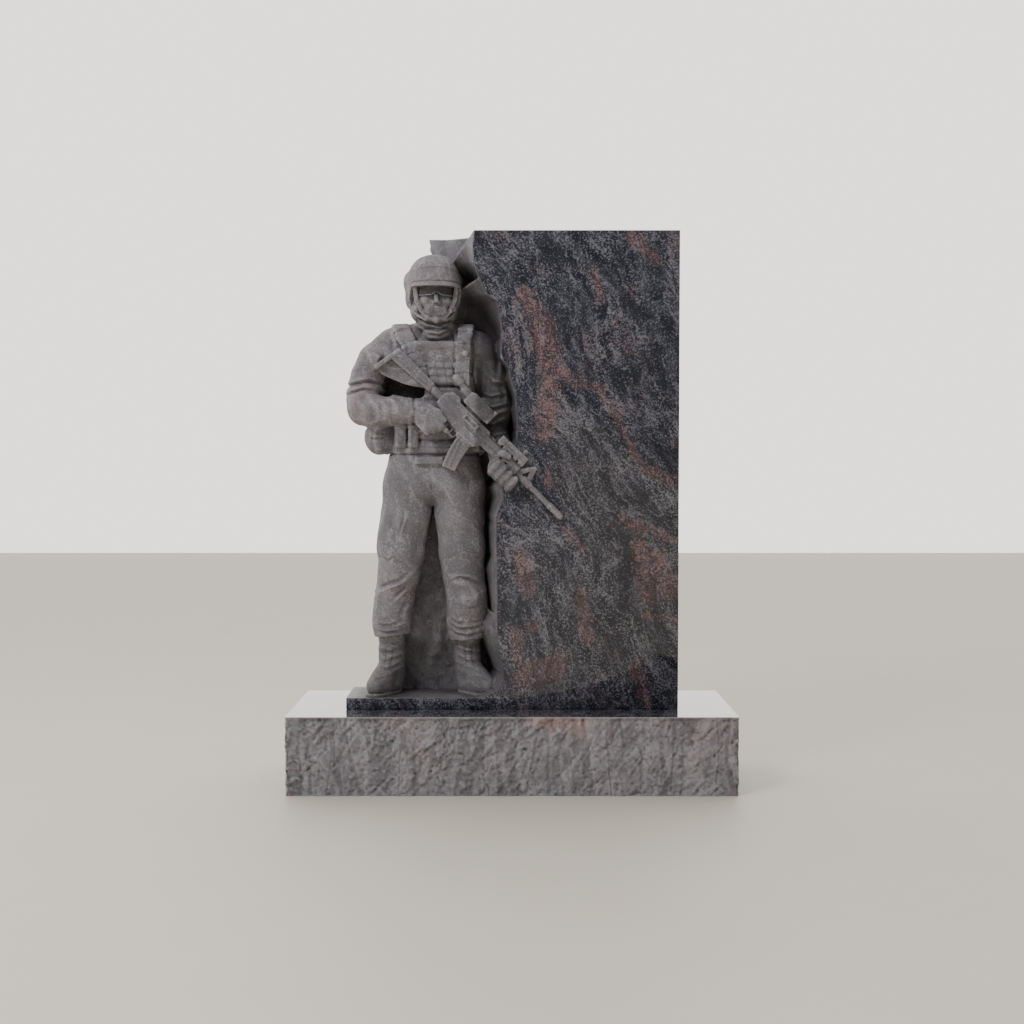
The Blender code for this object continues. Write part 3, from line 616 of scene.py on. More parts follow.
RUBBED = carved_granite("rubbed_granite", (0.086, 0.081, 0.092), (0.193, 0.183, 0.203),
                        (0.425, 0.408, 0.442), 0.42, -0.112, 0.0)
CHISELLED = carved_granite("chiselled_granite", (0.096, 0.092, 0.104), (0.206, 0.197, 0.219),
                           (0.350, 0.335, 0.366), 0.38, -0.150, 0.62)
# A carved stone darkened with painted shade, for the lenses and the hollow at the elbow
PAINTED_SHADE_STONE = carved_granite("shade_painted_granite", (0.028, 0.027, 0.029), (0.055, 0.053, 0.055),
                        (0.100, 0.096, 0.100), 0.25, -0.150, 0.0)
STONES = [POLISHED, RUBBED, CHISELLED, PAINTED_SHADE_STONE]
RUBBED_SLOT, CHISELLED_SLOT, PAINTED_SHADE_SLOT = 1, 2, 3


def sawn_slab():
    """The block after sawing, polishing and roughing out."""
    form = bmesh.new()
    bmesh.ops.create_cube(form, size=1.0)
    form.transform(Matrix.Translation((0, 0, DIE_BOTTOM + DIE_HEIGHT / 2)) @ Matrix.Diagonal(
        (DIE_WIDTH, DIE_THICKNESS, DIE_HEIGHT, 1.0)))
    bmesh.ops.bevel(form, geom=form.edges[:], offset=MITRE, segments=1, affect="EDGES", profile=0.5)
    mesh = bpy.data.meshes.new("headstone_with_soldier")
    form.to_mesh(mesh)
    form.free()
    made = bpy.data.objects.new("headstone_with_soldier_stone", mesh)
    bpy.context.scene.collection.objects.link(made)
    for stone in STONES:
        mesh.materials.append(stone)
    front, back = -DIE_THICKNESS / 2 - CLEAR, DIE_THICKNESS / 2 + CLEAR
    edge = chipped(NICHE_EDGE, 6.0, 1.5, 3.3)
    flank = chipped(ROCK_EDGE, 9.0, 6.0, 8.1)
    arris = [(x + ARRIS_CHIP * (1 + 0.8 * noise.noise(Vector((x / 5, 1.7, z / 5)))), z) for x, z in edge]
    left, over = -300, 1400
    for outline, near, far in (
        (arris, front, -DIE_THICKNESS / 2 + ARRIS_DEPTH), (edge, front, DIE_THICKNESS / 2 - BACK_WALL),
        (flank, front, back),
    ):
        closed = [(left, over), (outline[0][0], over), *outline, (left, 0)]
        combined(made, extruded(closed, near, far, CHISELLED_SLOT), "DIFFERENCE")
    return made


die = sawn_slab()


# Carving: everything from here to the carbine is cut from the same stone as the die. The clay below is a
# block of points, each with its distance to the surface, from which forms are joined, cut and creased.
CLAY_CELL = 2.0
CLAY_LOW, CLAY_HIGH = (-246.0, -138.0, -14.0), (360.0, 89.0, 1264.0)
FAR = 60.0


def swell(low, high, value):
    share = np.clip((value - low) / (high - low), 0.0, 1.0)
    return share * share * (3 - 2 * share)


def unevenness(axes, sizes, seed):
    """Smooth random values from -1 to 1 on the grid of these axes, in waves of the given sizes."""
    rng = np.random.default_rng(seed)
    weights = []
    for axis, size in zip(axes, sizes):
        place = (axis - axis[0]) / size + 0.37
        cell = np.floor(place).astype(int)
        share = swell(0, 1, place - cell)
        weight = np.zeros((len(axis), cell[-1] + 2), np.float32)
        weight[np.arange(len(axis)), cell] = 1 - share
        weight[np.arange(len(axis)), cell + 1] = share
        weights.append(weight)
    values = rng.uniform(-1, 1, [weight.shape[1] for weight in weights]).astype(np.float32)
    for weight in weights:
        values = np.tensordot(values, weight, axes=(0, 1))
    return values


def turned(degrees):
    """A turn about x, then y, then z, as a 3 x 3 array."""
    matrix = Matrix.Identity(3)
    for axis, angle in zip("XYZ", degrees):
        matrix = Matrix.Rotation(math.radians(angle), 3, axis) @ matrix
    return np.array(matrix, dtype=np.float32)


class Clay:
    """Distances to the surface in millimetres, negative inside, on a grid of cells."""

    def __init__(self, low, high, cell):
        self.cell = cell
        self.axes = [np.arange(a, b, cell, dtype=np.float32) for a, b in zip(low, high)]
        self.field = np.full([len(axis) for axis in self.axes], FAR, np.float32)

    def window(self, low, high, margin):
        """The part of the grid around a box, and the coordinates there."""
        cuts, coordinates = [], []
        for number, (axis, a, b) in enumerate(zip(self.axes, low, high)):
            first = int(np.clip((a - margin - axis[0]) // self.cell, 0, len(axis) - 1))
            last = int(np.clip((b + margin - axis[0]) // self.cell + 2, first + 1, len(axis)))
            cuts.append(slice(first, last))
            shape = [1, 1, 1]
            shape[number] = -1
            coordinates.append(axis[first:last].reshape(shape))
        return tuple(cuts), coordinates

    def join(self, cuts, distance, blend):
        """Adds a form, with a fillet of about the blend's size."""
        old = self.field[cuts]
        soft = np.maximum(blend - np.abs(old - distance), 0) / blend
        self.field[cuts] = np.minimum(old, distance) - soft * soft * blend / 4

    def cut(self, cuts, distance, blend):
        """Takes a form away, with a rounded edge of about the blend's size."""
        old = self.field[cuts]
        soft = np.maximum(blend - np.abs(old + distance), 0) / blend
        self.field[cuts] = np.maximum(old, -distance) + soft * soft * blend / 4

    def ball(self, centre, radii, turn=(0, 0, 0), blend=8.0, remove=False):
        reach = max(radii)
        cuts, (x, y, z) = self.window([c - reach for c in centre], [c + reach for c in centre], blend + 6)
        matrix = turned(turn).T
        offset = (x - centre[0], y - centre[1], z - centre[2])
        local = [sum(matrix[row, column] * offset[column] for column in range(3)) for row in range(3)]
        near = np.sqrt(sum((p / r) ** 2 for p, r in zip(local, radii)))
        steep = np.sqrt(sum((p / (r * r)) ** 2 for p, r in zip(local, radii)))
        distance = near * (near - 1) / np.maximum(steep, 1e-5)
        (self.cut if remove else self.join)(cuts, distance, blend)

    def limb(self, stations, depth=1.0, blend=8.0, inner=10.0, hem=None):
        """Round tapers through (x, y, z, radius). depth flattens them from front to back. hem is a height
        and a slope to the right at which a sleeve or trouser leg ends."""
        radius = max(station[3] for station in stations)
        low = [min(s[axis] for s in stations) - radius for axis in range(3)]
        high = [max(s[axis] for s in stations) + radius for axis in range(3)]
        cuts, (x, y, z) = self.window(low, high, blend + 6)
        total = None
        for (ax, ay, az, ar), (bx, by, bz, br) in zip(stations, stations[1:]):
            run = np.array([bx - ax, (by - ay) / depth, bz - az], np.float32)
            px, py, pz = x - ax, (y - ay) / depth, z - az
            share = np.clip((px * run[0] + py * run[1] + pz * run[2]) / max(1e-6, float(run @ run)), 0, 1)
            distance = np.sqrt((px - share * run[0]) ** 2 + (py - share * run[1]) ** 2
                               + (pz - share * run[2]) ** 2) - (ar + share * (br - ar))
            distance = distance * min(1.0, depth)
            if total is None:
                total = distance
            else:
                soft = np.maximum(inner - np.abs(total - distance), 0) / inner
                total = np.minimum(total, distance) - soft * soft * inner / 4
        if hem:
            end = hem[0] + hem[1] * (x - stations[-1][0]) - z
            soft = np.maximum(5 - np.abs(total - end), 0) / 5
            total = np.maximum(total, end) + soft * soft * 5 / 4
        self.join(cuts, total, blend)

    def strap(self, path, half_width, half_height, rounding=3.0, blend=2.5):
        """A padded band along the points of path that lies flat on what it runs over."""
        for start, end in zip(path, path[1:]):
            run = Vector(end) - Vector(start)
            along = run.normalized()
            side = (Vector((1, 0, 0)) - along * along.x).normalized()
            out = side.cross(along)
            matrix = np.array([side, out, along], np.float32)
            middle = (Vector(start) + Vector(end)) / 2
            half = (half_width, half_height, run.length / 2 + half_height * 0.6)
            self.block(tuple(middle), half, rounding=rounding, blend=blend, matrix=matrix)

    def block(self, centre, half, turn=(0, 0, 0), rounding=4.0, blend=3.0, remove=False, matrix=None):
        reach = math.sqrt(sum(h * h for h in half))
        cuts, (x, y, z) = self.window([c - reach for c in centre], [c + reach for c in centre], blend + 4)
        matrix = turned(turn).T if matrix is None else matrix
        offset = (x - centre[0], y - centre[1], z - centre[2])
        beyond = [np.abs(sum(matrix[row, column] * offset[column] for column in range(3)))
                  - half[row] + rounding for row in range(3)]
        outside = np.sqrt(sum(np.maximum(b, 0) ** 2 for b in beyond))
        inside = np.minimum(np.maximum(np.maximum(beyond[0], beyond[1]), beyond[2]), 0)
        (self.cut if remove else self.join)(cuts, outside + inside - rounding, blend)

    def plate(self, outline, front, back, frame=None, rounding=2.0, blend=2.0, remove=False):
        """A flat part with an outline. frame turns grid x and z into the outline's two coordinates and
        the depth y into the depth that front and back are measured in."""
        corners = outline if frame is None else [frame.point(u, v) for u, v in outline]
        xs, zs = [c[0] for c in corners], [c[1] for c in corners]
        base = 0.0 if frame is None else frame.depth
        cuts, (x, y, z) = self.window([min(xs), base + front, min(zs)], [max(xs), base + back, max(zs)],
                                      blend + 16)
        first, second = (x, z) if frame is None else frame.local(x, z)
        deep = y if frame is None else y - frame.depth - frame.lean * first
        side = outline_distance(outline, first, second) + rounding
        through = np.abs(deep - (front + back) / 2) - (back - front) / 2 + rounding
        outside = np.sqrt(np.maximum(side, 0) ** 2 + np.maximum(through, 0) ** 2)
        inside = np.minimum(np.maximum(side, through), 0)
        (self.cut if remove else self.join)(cuts, outside + inside - rounding, blend)

    def raise_area(self, outline, height, edge=2.0, depths=(-140, 0)):
        """Lifts the surface inside an outline of the front view, as a pad sewn on a garment."""
        xs, zs = [c[0] for c in outline], [c[1] for c in outline]
        cuts, (x, y, z) = self.window([min(xs), depths[0], min(zs)], [max(xs), depths[1], max(zs)], edge + 3)
        share = swell(edge, -edge, outline_distance(outline, x, z))
        self.field[cuts] -= height * share * self.near_surface(cuts)

    def near_surface(self, cuts):
        """1 at the surface, fading where the stone is deep, so that changes stay on the skin."""
        return swell(14.0, 7.0, np.abs(self.field[cuts]))

    def crease(self, path, width, depth, depths=(-140, 0), lip=0.0, taper=True):
        """A valley along a line of the front view, or a ridge where depth is negative. lip raises the
        stone beside it, on the line's left, as the roll of a fold."""
        xs, zs = [c[0] for c in path], [c[1] for c in path]
        low, high = [min(xs), depths[0], min(zs)], [max(xs), depths[1], max(zs)]
        cuts, (x, y, z) = self.window(low, high, 4 * width)
        nearest, side, place = None, None, None
        lengths = [math.dist(a, b) for a, b in zip(path, path[1:])]
        total, before = sum(lengths), 0.0
        for (ax, az), (bx, bz), length in zip(path, path[1:], lengths):
            rx, rz = (bx - ax) / length, (bz - az) / length
            along = np.clip((x - ax) * rx + (z - az) * rz, 0, length)
            dx, dz = x - ax - along * rx, z - az - along * rz
            away = np.sqrt(dx * dx + dz * dz)
            cross = rx * dz - rz * dx
            if nearest is None:
                nearest, side, place = away, cross, (before + along) / total
            else:
                closer = away < nearest
                nearest = np.where(closer, away, nearest)
                side = np.where(closer, cross, side)
                place = np.where(closer, (before + along) / total, place)
            before += length
        fade = np.sin(np.pi * np.clip(place, 0.02, 0.98)) ** 0.6 if taper else 1.0
        shape = depth * np.exp(-(nearest / width) ** 2)
        if lip:
            roll = np.sign(side) * nearest
            shape = shape - lip * np.exp(-((roll - 1.7 * width) / (1.1 * width)) ** 2)
        self.field[cuts] += shape * fade * self.near_surface(cuts)


def outline_distance(outline, x, z):
    """Distance to a closed outline, negative inside it."""
    nearest, inside = None, None
    for (ax, az), (bx, bz) in zip(outline, outline[1:] + outline[:1]):
        rx, rz = bx - ax, bz - az
        share = np.clip(((x - ax) * rx + (z - az) * rz) / max(1e-9, rx * rx + rz * rz), 0, 1)
        away = (x - ax - share * rx) ** 2 + (z - az - share * rz) ** 2
        crosses = ((az > z) != (bz > z)) & (x < rx * (z - az) / (rz if rz else 1e-9) + ax)
        nearest = away if nearest is None else np.minimum(nearest, away)
        inside = crosses if inside is None else inside ^ crosses
    return np.sqrt(nearest) * np.where(inside, -1.0, 1.0)


clay = Clay(CLAY_LOW, CLAY_HIGH, CLAY_CELL)


# Rock: what is left of the block behind the figure. Its wall falls from the cut edge of the polished
# face in broad scoops, each split off from above so that it runs back under itself to a sharp ledge. The
# back of the niche is lumpy, the top and the flank are as split.
LIP_Y, WALL_Y, ROCK_BACK = -88.2, 50.0, 85.0
SET_BACK = 9.0
LEDGE_POWER = 1.9
SCOOP_AXIS = 110
# Feet of the scoops, from the top down: height at x = SCOOP_AXIS, rise to the right, width of the flat
# strip left along the polished edge, what the scoop's head adds to it, how squarely the strip breaks off
SCOOPS = [
    (1258, 1.30, 8, 0, 1.7), (1127, 0.50, 8, 74, 1.7), (1009, -0.45, 8, 96, 1.7), (905, -0.20, 9, 12, 2.0),
    (822, -0.20, 11, 8, 2.2), (700, 0.20, 13, 8, 2.4), (598, 0.20, 16, 12, 2.6), (490, -0.20, 22, 16, 3.0),
    (380, 0.15, 20, 5, 3.0), (236, -0.10, 19, 16, 3.0), (60, 0.15, 30, 24, 3.0), (-40, 0.0, 26, 10, 3.0),
]


# Lumps of the rock: height, width along x and z, seed
ROCK_LUMPS = [(9.0, 52, 74, 5), (5.0, 24, 36, 6), (2.2, 12, 15, 7), (1.0, 6, 7, 8)]


def outline_x(outline, z):
    heights = np.array([point[1] for point in reversed(outline)], np.float32)
    places = np.array([point[0] for point in reversed(outline)], np.float32)
    return np.interp(z, heights, places).astype(np.float32)


def carve_rock():
    xs, ys, zs = clay.axes
    x, y, z = xs.reshape(-1, 1, 1), ys.reshape(1, -1, 1), zs.reshape(1, 1, -1)
    right, left = outline_x(NICHE_EDGE, z), outline_x(ROCK_EDGE, z)
    clear = np.maximum(right - x, 0)
    rough = sum(height * unevenness((xs, zs), (wide, high), seed)[:, None, :]
                for height, wide, high, seed in ROCK_LUMPS)
    body = np.full(clay.field.shape, FAR, np.float32)
    for (high, high_rise, *_), (low, low_rise, flat, reach, power) in zip(SCOOPS, SCOOPS[1:]):
        top = high + high_rise * (x - SCOOP_AXIS)
        foot = low + low_rise * (x - SCOOP_AXIS)
        share = np.clip((z - foot) / np.maximum(top - foot, 1), 0, 1)
        crest = share ** 1.5 if power < LEDGE_POWER else 1.4 * share ** 1.3 * swell(0, 0.30, 1 - share)
        width = flat + reach * crest
        front = LIP_Y + (WALL_Y - LIP_Y) * (1 - np.exp(-(clear / width) ** power))
        front = front + SET_BACK * swell(1, 9, clear) * swell(60, 0, front)
        front = front + rough * (0.50 + 0.50 * swell(20, 90, clear)) * swell(2, 12, clear)
        scoop = np.maximum((front - y) * 0.55, np.maximum(z - top, foot - z) * 0.7)
        body = np.minimum(body, scoop)
    cap = 10 + 0.586 * (NICHE_EDGE[0][0] - x) + 1.5 * unevenness((xs, zs), (18, 14), 3)[:, None, :]
    first_foot = SCOOPS[0][0] + SCOOPS[0][1] * (x - SCOOP_AXIS)
    facet = np.maximum((cap - y) * 0.8, (first_foot - z) * 0.6)
    body = np.minimum(body, facet)
    side = left + 5 + 6 * unevenness((ys, zs), (40, 52), 9)[None]
    side = side + 3 * unevenness((ys, zs), (17, 21), 10)[None]
    body = np.maximum(body, side - x)
    body = np.maximum(body, x - right - 8)
    body = np.maximum(body, y - ROCK_BACK)
    body = np.maximum(body, z - (DIE_TOP - FIGURE_PLACE.z) / MILLIMETRE + 0.6)
    clay.field[:] = np.minimum(body, FAR)
    # The stone left uncut behind the right elbow
    clay.ball((-130, 42, 846), (54, 30, 70), blend=6)


carve_rock()
ROUGH_STONE = clay.field.copy()


# Trousers and boots: loose cloth with side pockets, gathered at the crotch, slack over padded knees and
# bloused over laced boots, on soles that stand on the step.
RIGHT_LEG = [
    (-54, 4, 652, 71), (-62, 0, 570, 75), (-75, -4, 488, 67), (-90, -8, 400, 60), (-98, -11, 330, 52),
    (-110, -11, 268, 49), (-116, -7, 222, 47), (-117, -4, 190, 47), (-117, -2, 150, 46),
]
LEFT_LEG = [
    (56, 4, 652, 71), (62, 0, 570, 75), (68, -4, 488, 66), (74, -8, 400, 59), (81, -11, 330, 52),
    (91, -11, 268, 51), (91, -7, 222, 49), (90, -4, 190, 49), (90, -2, 150, 47),
]
RIGHT_HEM, LEFT_HEM = (162, 0.10), (152, 0.06)


def carve_trousers():
    clay.ball((3, 2, 604), (129, 74, 94), blend=14)
    clay.limb(RIGHT_LEG, blend=12, inner=26, hem=RIGHT_HEM)
    clay.limb(LEFT_LEG, blend=12, inner=26, hem=LEFT_HEM)
    # The gap between the legs runs up to the crotch
    clay.plate([(-3, 516), (-10, 484), (-26, 412), (-18, 380), (8, 380), (12, 412), (3, 484)], -140, 44,
               rounding=4, blend=7, remove=True)
    # Side pockets, seat of the knees, slack cloth over them
    clay.ball((-125, -4, 436), (30, 42, 50), blend=16)
    clay.ball((-129, -2, 402), (27, 36, 30), blend=12)
    clay.ball((112, -4, 410), (25, 40, 54), blend=16)
    clay.ball((-121, -26, 272), (36, 34, 30), turn=(0, 24, 0), blend=12)
    clay.ball((-108, -30, 240), (38, 30, 30), turn=(0, 8, 0), blend=14)
    clay.ball((104, -30, 282), (38, 34, 28), turn=(0, -10, 0), blend=12)
    clay.ball((86, -30, 240), (36, 30, 30), turn=(0, -20, 0), blend=14)
    # Drag lines from the crotch, the belt and the pocket
    for path, width, depth, lip in (
        ([(3, 508), (-18, 534), (-62, 552), (-96, 556)], 7, 3.6, 2.4),
        ([(3, 508), (26, 536), (64, 556)], 7, 3.4, -2.4), ([(4, 520), (0, 560), (-4, 618)], 6, 2.0, 1.4),
        ([(-108, 622), (-92, 590), (-86, 556)], 9, 2.2, 2.0),
        ([(96, 620), (86, 586), (84, 560)], 9, 2.0, -1.8),
        ([(-76, 494), (-84, 470), (-92, 444)], 3.4, 3.6, 2.4),
        ([(-34, 470), (-40, 420), (-56, 360)], 11, 2.6, 2.2),
        ([(34, 470), (40, 420), (48, 360)], 11, 2.6, -2.2),
        ([(-112, 500), (-104, 450), (-104, 400)], 10, 2.4, 2.0),
        ([(-150, 384), (-122, 372), (-98, 384)], 4.5, 3.6, 2.6),
        ([(98, 470), (92, 420), (98, 366)], 10, 2.2, -1.8),
        ([(-156, 420), (-134, 414), (-112, 420)], 4, 1.8, 1.4),
    ):
        clay.crease(path, width, depth, lip=lip)
    # Knees: the cloth breaks in slanting folds above and under the pads
    for path, width, depth, lip in (
        ([(-66, 336), (-92, 318), (-124, 306), (-156, 292)], 5.5, 6.0, 5.0),
        ([(-72, 300), (-92, 284), (-112, 262)], 4.5, 4.6, 3.4),
        ([(-152, 300), (-160, 276), (-158, 250)], 5, 3.4, 2.6),
        ([(-70, 262), (-84, 236), (-88, 208)], 6, 3.0, 2.6),
        ([(-150, 236), (-132, 214), (-108, 206)], 6, 3.0, 2.4),
        ([(50, 314), (70, 324), (96, 322), (128, 306)], 5, 5.6, 4.6),
        ([(52, 306), (62, 276), (64, 246)], 5, 4.2, -3.4), ([(66, 300), (96, 292), (118, 268)], 6, 3.0, 2.6),
        ([(72, 252), (96, 240), (124, 242)], 6, 3.4, 2.6),
        ([(118, 300), (132, 276), (130, 240)], 6, 3.2, -2.4),
    ):
        clay.crease(path, width, depth, lip=lip)
    # Cuffs: cloth pushed down over the boots in slack rolls, each of its own length
    for path, width, depth, lip in (
        ([(-164, 204), (-140, 192), (-112, 194), (-84, 206)], 5, 2.6, 2.6),
        ([(-164, 178), (-130, 172), (-96, 176), (-68, 186)], 4.5, 3.4, 3.0),
        ([(-118, 186), (-96, 186), (-70, 196)], 4, 2.4, 2.0),
        ([(44, 212), (66, 200), (92, 202)], 4, 3.6, 3.0),
        ([(44, 196), (70, 184), (104, 184), (140, 196)], 4.5, 4.2, 3.4),
        ([(44, 182), (62, 170), (86, 168)], 3.6, 3.4, 2.6),
        ([(60, 168), (96, 164), (140, 176)], 4, 3.2, 2.6),
        ([(98, 208), (120, 202), (142, 212)], 4, 2.6, 2.2),
    ):
        clay.crease(path, width, depth, lip=lip)


def carve_boot(shaft_x, toe_x, toe_y):
    ball_x, ball_y = shaft_x + 0.62 * (toe_x - shaft_x), 0.62 * toe_y
    out = 1 if toe_x > shaft_x else -1
    clay.limb([(shaft_x, 6, 170, 37), (shaft_x - 2 * out, 8, 110, 34), (shaft_x - 2 * out, 12, 48, 35)],
              blend=2, inner=14)
    clay.limb([(shaft_x, 0, 82, 32), (ball_x, ball_y, 40, 28), (toe_x, toe_y, 28, 26)], blend=12, inner=18)
    clay.limb([(shaft_x + 1, 38, 28, 28), (shaft_x, 6, 28, 30), (ball_x, ball_y, 24, 32)], blend=10,
              inner=12)
    welt = [(shaft_x, 38, 29), (shaft_x, 4, 29), (ball_x, ball_y, 31), (toe_x, toe_y, 27)]
    low = [min(s[0] for s in welt) - 40, min(s[1] for s in welt) - 40, -12]
    high = [max(s[0] for s in welt) + 40, max(s[1] for s in welt) + 40, 20]
    cuts, (x, y, z) = clay.window(low, high, 6)
    flat = None
    for (ax, ay, ar), (bx, by, br) in zip(welt, welt[1:]):
        run = (bx - ax) ** 2 + (by - ay) ** 2
        share = np.clip(((x - ax) * (bx - ax) + (y - ay) * (by - ay)) / run, 0, 1)
        away = np.hypot(x - ax - share * (bx - ax), y - ay - share * (by - ay)) - (ar + share * (br - ar))
        flat = away if flat is None else np.minimum(flat, away)
    clay.join(cuts, np.maximum(flat, z - 8.0), 1.5)
    # Leather pushed into soft rings at the ankle, the tongue between the lace rows, the toe's seam
    for z0, drop, width, depth in ((140, 3, 5, 2.6), (118, 8, 6, 3.4), (98, 12, 6, 3.0), (78, 16, 5, 2.4)):
        path = [(shaft_x - out * 36, z0 + 6), (shaft_x, z0 - drop / 2), (shaft_x + out * 38, z0 - drop)]
        clay.crease(path, width, depth, lip=depth * 0.7, depths=(-60, 10))
    for shift in (-9, 9):
        path = [(shaft_x + shift, 146), (shaft_x + shift + 3 * out, 100), (shaft_x + shift + 14 * out, 60)]
        clay.crease(path, 2.4, 1.8, depths=(-90, 0))
    for step in range(6):
        z0, centre = 138 - 14 * step, shaft_x + out * (0.5 + 0.5 * step * step)
        clay.crease([(centre - 9, z0 + 1), (centre + 9, z0 - 2)], 2.2, -1.6, depths=(-90, 0), taper=False)
    clay.crease([(toe_x - out * 36, 52), (toe_x - out * 10, 50), (toe_x + out * 8, 40)], 3.0, 1.8)


carve_trousers()
carve_boot(-121, -158, -56)
carve_boot(93, 146, -44)


# Trunk: jacket under a plate carrier with padded shoulder straps, webbing rows, a belt and its pouches.
def carve_trunk():
    clay.limb([(2, 0, 664, 110), (4, -8, 760, 110), (5, -12, 876, 116)], depth=0.66, blend=10, inner=30)
    clay.limb([(-92, 2, 940, 54), (90, 4, 940, 54)], blend=14)
    clay.limb([(0, 2, 998, 36), (-112, 2, 960, 47)], blend=12)
    clay.limb([(6, 2, 998, 36), (110, 4, 954, 46)], blend=12)
    # Front plate and the softer panel under it
    clay.block((18, -72, 904), (70, 20, 62), rounding=10, blend=4)
    clay.block((22, -68, 780), (84, 19, 64), rounding=12, blend=5)
    clay.crease([(-36, 946), (16, 940), (66, 948)], 4.0, 2.4, lip=1.2)
    for row, z in enumerate((900, 880, 860)):
        clay.raise_area([(-46, z + 7), (-46, z - 7), (62, z - 7), (62, z + 7)], 2.6, 2.0)
        for column in range(5):
            x = -36 + 23 * column + 4 * row
            clay.crease([(x, z + 7), (x, z - 7)], 2.0, 1.8, taper=False)
    clay.crease([(-48, 846), (20, 842), (80, 846)], 4.0, 6.0, taper=False)
    clay.crease([(-44, 812), (10, 806), (66, 814)], 5.0, 2.6, lip=1.8)
    # Shoulder straps, wide and padded, tacked down into short pads
    straps = (
        ([(-92, 40, 992), (-94, 14, 1009), (-91, -14, 1011), (-84, -40, 999), (-73, -62, 978),
          (-59, -79, 950), (-46, -89, 918), (-37, -94, 886), (-32, -96, 852)], 23, 7),
        ([(88, 40, 992), (90, 14, 1009), (90, -16, 1010), (89, -42, 998), (88, -64, 976), (87, -80, 950),
          (85, -90, 920), (83, -94, 886), (80, -96, 846)], 21, 7),
    )
    for path, width, height in straps:
        clay.strap(path, width, height, rounding=6, blend=5)
    for path in (
        [(-104, 990), (-66, 1004)], [(-88, 952), (-44, 970)], [(-76, 926), (-28, 938)],
        [(-64, 888), (-14, 896)],
        [(66, 994), (112, 994)], [(64, 958), (110, 958)], [(64, 912), (106, 912)], [(60, 876), (104, 878)],
    ):
        clay.crease(path, 2.8, 2.4, taper=False)
    clay.ball((90, -98, 930), (9, 8, 9), blend=2)
    clay.crease([(52, 1000), (62, 950), (58, 880)], 3.0, 3.0, taper=False)
    clay.crease([(-58, 872), (-56, 910), (-68, 944)], 3.0, 2.6, taper=False)
    # Cord and deep folds of cloth between the left strap and the sleeve
    for path, width, depth, lip in (
        ([(114, 976), (116, 930), (112, 880), (120, 826)], 3.2, -4.0, 0),
        ([(106, 984), (108, 930), (104, 870)], 3.8, 9.0, 2.0),
        ([(124, 984), (126, 940), (124, 880), (130, 830)], 4.0, 9.5, 3.0),
        ([(136, 980), (144, 930), (142, 880)], 4.2, 8.0, 3.4),
        ([(148, 972), (160, 926), (160, 880)], 4.4, 7.0, 3.2),
        ([(108, 868), (118, 836), (114, 790)], 5.0, 5.0, 2.4),
        ([(136, 868), (132, 836), (138, 800)], 5.0, 4.4, 2.6),
    ):
        clay.crease(path, width, depth, depths=(-140, 30), lip=lip)
    # Belt with its keeper and the loose end of the webbing
    clay.limb([(-118, -4, 678, 22), (-62, -54, 680, 22), (4, -64, 681, 22), (68, -54, 680, 22),
               (120, -4, 678, 22)], depth=0.9, blend=4)
    for z in (700, 660):
        clay.crease([(-124, z + 2), (-60, z), (4, z - 1), (70, z), (122, z + 2)], 3.4, 5.0, taper=False,
                    depths=(-140, 30))
    clay.crease([(-116, 682), (-60, 680), (60, 680), (116, 682)], 2.4, 1.8, taper=False, depths=(-140, 30))
    clay.block((-8, -70, 644), (38, 14, 10), rounding=4, blend=3)
    # Pouches, each with its flap: a round one at the hip, two for magazines, one at the left side
    clay.ball((-147, -16, 706), (44, 40, 46), turn=(0, -14, 22), blend=6)
    clay.block((-140, -20, 706), (36, 36, 38), turn=(0, -14, 22), rounding=16, blend=8)
    clay.crease([(-190, 716), (-160, 702), (-112, 706)], 3.6, 3.4, lip=2.0)
    clay.crease([(-158, 742), (-166, 700), (-160, 664)], 4.0, 2.6, lip=1.6)
    for (x, y, z), half, turn, flap in (
        ((-88, -66, 716), (15, 20, 38), (0, 0, 14), 13), ((-52, -74, 716), (14, 18, 38), (0, 0, 6), 12),
        ((116, -34, 712), (30, 36, 44), (0, 0, -30), 14),
    ):
        clay.block((x, y, z), half, turn=turn, rounding=8, blend=4)
        lift = (half[0] + 1.5, half[1] + 2.5, flap)
        clay.block((x, y, z + half[2] - flap), lift, turn=turn, rounding=5, blend=1.5)


carve_trunk()


